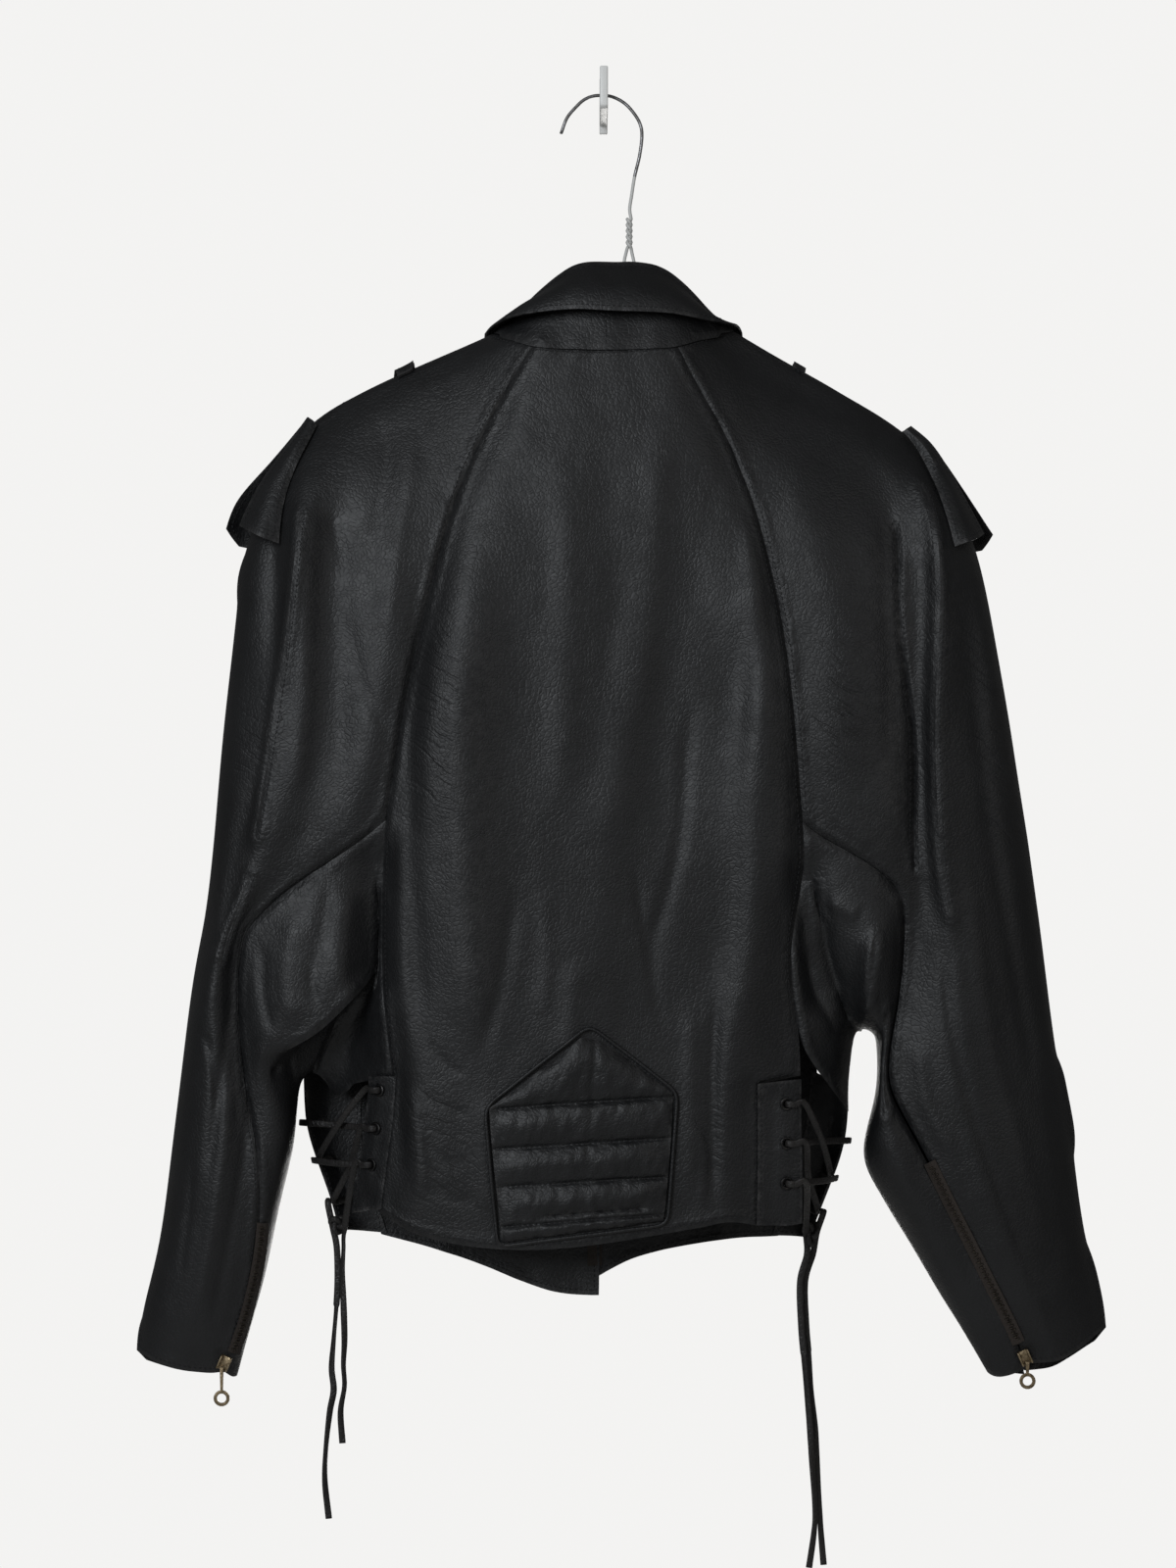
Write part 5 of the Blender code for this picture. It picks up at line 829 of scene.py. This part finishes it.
def insetRuns(piece, edge, inset):  # lines on the piece that keep one distance from its cut edge
    mesh = piece.data
    mesh.calc_loop_triangles()
    links = {}
    where = {}
    for tri in mesh.loop_triangles:
        ids = tri.vertices
        over = [edge[k] > inset for k in ids]
        if all(over) or not any(over):
            continue
        ends = []
        for a, b in ((0, 1), (1, 2), (2, 0)):
            if over[a] != over[b]:
                key = (min(ids[a], ids[b]), max(ids[a], ids[b]))
                if key not in where:
                    t = (inset - edge[key[0]]) / (edge[key[1]] - edge[key[0]])
                    p, q = mesh.vertices[key[0]], mesh.vertices[key[1]]
                    where[key] = (p.co.lerp(q.co, t), p.normal.lerp(q.normal, t).normalized())
                ends.append(key)
        links.setdefault(ends[0], []).append(ends[1])
        links.setdefault(ends[1], []).append(ends[0])
    used = set()
    runs = []
    starts = [k for k in links if len(links[k]) == 1] + list(links)
    for start in starts:
        if start in used:
            continue
        run, here = [], start
        while here is not None:
            used.add(here)
            run.append(where[here])
            here = next((k for k in links[here] if k not in used), None)
        if len(run) > 6:
            runs.append(run)
    return runs


def stitchesAlong(run):
    rows, left = [], 0.0
    for (a, na), (b, nb) in zip(run, run[1:]):
        step = b - a
        size = step.length
        if size < 1e-7 or size > stitchLook["gap"]:
            continue
        while left < size:
            t = left / size
            rows.append((a.lerp(b, t), step.normalized(), na.lerp(nb, t).normalized()))
            left += stitchLook["pitch"]
        left -= size
    return rows


def laidOn(tree, line):  # spots of the photograph on what shows there, with its outward direction
    laid = []
    for across, down in line:
        aim = (spotAt(across, down, photo["backDepth"]) - eye).normalized()
        spot, normal, _, _ = tree.ray_cast(eye, aim)
        if spot is not None:
            laid.append((spot, normal if normal.dot(aim) < 0 else -normal))
    return laid


stitchCount = 0
for name, (_, _, _, cut, insets) in leatherPieces.items():
    piece = made[name]
    rows = []
    for inset in insets:
        for run in insetRuns(piece, edgeOf[name], inset):
            rows += [row for row in stitchesAlong(run) if shows(row[0], row[2])]
    if rows:
        thread = stitchMesh(name + "Stitches", rows)
        rideAs(thread, "black_leather")
        stitchCount += len(rows)
print("stage: stitches", stitchCount)

# Quilting rows of the waist pad
rows = []
for run in [*quiltRows.values(), [(618, 323), (619, 337), (619, 351)]]:    # and the collar stand's seam
    rows += stitchesAlong(laidOn(skin, smoothLine(run, 3.0)))
quiltThread = stitchMesh("quiltThread", rows)
rideAs(quiltThread, "black_leather")

# Eyelets: rolled rings in place of the plain ones
eyeletLook = {"hole": 0.0023, "outer": 0.0044, "roll": 0.0007, "sides": 30}
for name in [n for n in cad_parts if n.startswith("eyelet_") and "strip" not in n]:
    ring = np.array([tuple(v.co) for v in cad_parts[name].data.vertices])
    middle = ring.mean(axis=0)
    _, _, axes = np.linalg.svd(ring - middle, full_matrices=False)
    normal = Vector(axes[2])
    deep = float(np.abs((ring - middle) @ np.array(normal)).max())
    side = normal.orthogonal().normalized()
    up = normal.cross(side)
    profile = [(eyeletLook["hole"], -deep), (eyeletLook["hole"], deep * 0.4)]
    for k in range(7):
        a = math.pi * (1 - k / 6)
        profile.append((eyeletLook["hole"] * 0.5 + eyeletLook["outer"] * 0.5
                        + math.cos(a) * (eyeletLook["outer"] - eyeletLook["hole"]) / 2,
                        deep * 0.4 + math.sin(a) * eyeletLook["roll"]))
    profile += [(eyeletLook["outer"], deep * 0.2), (eyeletLook["outer"], -deep * 0.6),
                (eyeletLook["outer"] * 0.9, -deep)]
    points, faces = [], []
    count = eyeletLook["sides"]
    for radius, rise in profile:
        for k in range(count):
            a = 2 * math.pi * k / count
            points.append(Vector(middle) + (side * math.cos(a) + up * math.sin(a)) * radius + normal * rise)
    for i in range(len(profile)):
        j = (i + 1) % len(profile)
        for k in range(count):
            m = (k + 1) % count
            faces.append([i * count + k, j * count + k, j * count + m, i * count + m])
    rolled = newPiece(name + "_rolled", points, faces, blackEnamel)
    rideAs(rolled, "eyelet_metal", name)

# Zips: the tapes stay, teeth lie along them
teethLook = {"pitch": 0.0015, "wide": 0.0027, "long": 0.0011, "high": 0.0010, "reach": 0.0012}
zipRuns = {
    "leftTeeth": [(268, 1250), (266, 1270), (261, 1300), (254, 1330), (246, 1358), (239, 1378)],
    "rightTeeth": [(950, 1189), (968, 1225), (991, 1270), (1011, 1310), (1031, 1350), (1039, 1368)]}
zipSkin = treeOf([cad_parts["sleeve_zip_left"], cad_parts["sleeve_zip_right"]])
for name, run in zipRuns.items():
    laid = laidOn(zipSkin, smoothLine(run, 1.0))
    points, faces = [], []
    gone, number = 0.0, 0
    for (a, na), (b, nb) in zip(laid, laid[1:]):
        gone += (b - a).length
        if gone < teethLook["pitch"]:
            continue
        gone = 0.0
        number += 1
        along = (b - a).normalized()
        side = along.cross(na).normalized() * (1 if number % 2 else -1)
        normal = side.cross(along).normalized()
        normal = normal if normal.dot(na) > 0 else -normal
        base = len(points)
        middle = b + side * teethLook["reach"] * 0.5
        for wide, high in ((1.0, 0.0), (1.0, 0.7), (0.72, 1.0)):
            for su, sv in ((-1, -1), (1, -1), (1, 1), (-1, 1)):
                points.append(middle + side * su * teethLook["wide"] / 2 * wide
                              + along * sv * teethLook["long"] / 2 * (0.7 if su < 0 else 1.0) * wide
                              + normal * (high * teethLook["high"]))
        faces += tubeFaces(2, 4, base)
    teeth = newPiece(name, points, faces, dullTeeth, smooth=False)
    rideAs(teeth, "old_brass")


def rounded(node, name, finish, width, slotName, body="body"):
    net = bmesh.new()
    net.from_mesh(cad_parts[node].data)
    bmesh.ops.remove_doubles(net, verts=net.verts, dist=1e-6)
    bmesh.ops.dissolve_limit(net, angle_limit=math.radians(2), verts=net.verts, edges=net.edges)
    piece = pieceFrom(net, name, finish, "BEVEL", width=width, segments=3, limit_method="ANGLE",
                      angle_limit=math.radians(30))
    piece.data.set_sharp_from_angle(angle=math.radians(40))
    return rideAs(piece, slotName, node, body=body)


rounded("wall_hook", "wallHook", hookPaint, 0.0009, "white_paint")
for side in ("left", "right"):
    rounded("slider_" + side, side + "Slider", agedBrass, 0.00045, "old_brass")
    rounded("pull_" + side, side + "Pull", agedBrass, 0.0003, "old_brass", body="pull_" + side)
rounded("front_slider", "frontSlider", agedBrass, 0.00045, "old_brass")
for node in ("sleeve_zip_left", "sleeve_zip_right", "front_zip"):
    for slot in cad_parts[node].material_slots:
        slot.link = "OBJECT"
        slot.material = zipTape

# Hanger: bare dark hook, then a white coat over the twist and the arms
hangerLook = {"thick": 0.0023, "away": 0.045, "coatFrom": 182, "twist": 2.5, "apart": 0.00135}
hookRun = [(573, 137), (579, 121), (589, 109), (597, 102), (606, 98.5), (616, 98), (626, 99.5),
           (638, 106), (648, 117), (654, 128), (655.5, 140), (653, 160), (648, 181), (645, 200),
           (643, 214)]
leftRun = [(638, 264), (632, 290), (605, 317), (560, 334), (520, 346), (470, 364), (440, 375.5),
           (400, 391.5), (370, 404.5), (348, 416), (336, 426), (334, 436), (342, 442)]
barRun = [(400, 444), (500, 447), (620, 450), (740, 453), (850, 456), (890, 457)]
rightRun = [(902, 453), (905, 443), (897, 432), (880, 421.5), (850, 403), (810, 382), (780, 367.5),
            (745, 350.5), (700, 332), (670, 314), (654, 292), (647, 266)]
twistA, twistB = [], []
for k in range(21):
    turn = 2 * math.pi * hangerLook["twist"] * k / 20
    middle = spotAt(642.5, 224 + 30 * k / 20, hangerLook["away"])
    aside = Vector((math.cos(turn), math.sin(turn), 0)) * hangerLook["apart"]
    twistA.append(middle + aside)
    twistB.append(middle - aside)
whiteCoat = paintFinish("whiteCoat", (0.62, 0.62, 0.60))
hook = [spotAt(a, d, hangerLook["away"]) for a, d in hookRun]
arms = [spotAt(a, d, hangerLook["away"]) for a, d in leftRun + barRun + rightRun]
wireLine = smoothLine(hook + twistA + arms + twistB[::-1], 0.003)
wire = tubeAlong("hangerWire", wireLine, hangerLook["thick"] / 2, 14, darkSteel)
wire.data.materials.append(whiteCoat)
coatTop = spotAt(640, hangerLook["coatFrom"], hangerLook["away"]).z
for face in wire.data.polygons:
    face.material_index = 1 if face.center.z < coatTop else 0
rideAs(wire, "hanger_wire", "wire_hanger")
print("stage: metal")

# Floor
floorRing = [(view["floorRadius"] * math.cos(k * math.pi / 48),
              view["floorRadius"] * math.sin(k * math.pi / 48), view["floorDown"]) for k in range(96)]
floor = newPiece("floor", floorRing, [list(range(96))], floorPaint, smooth=False)
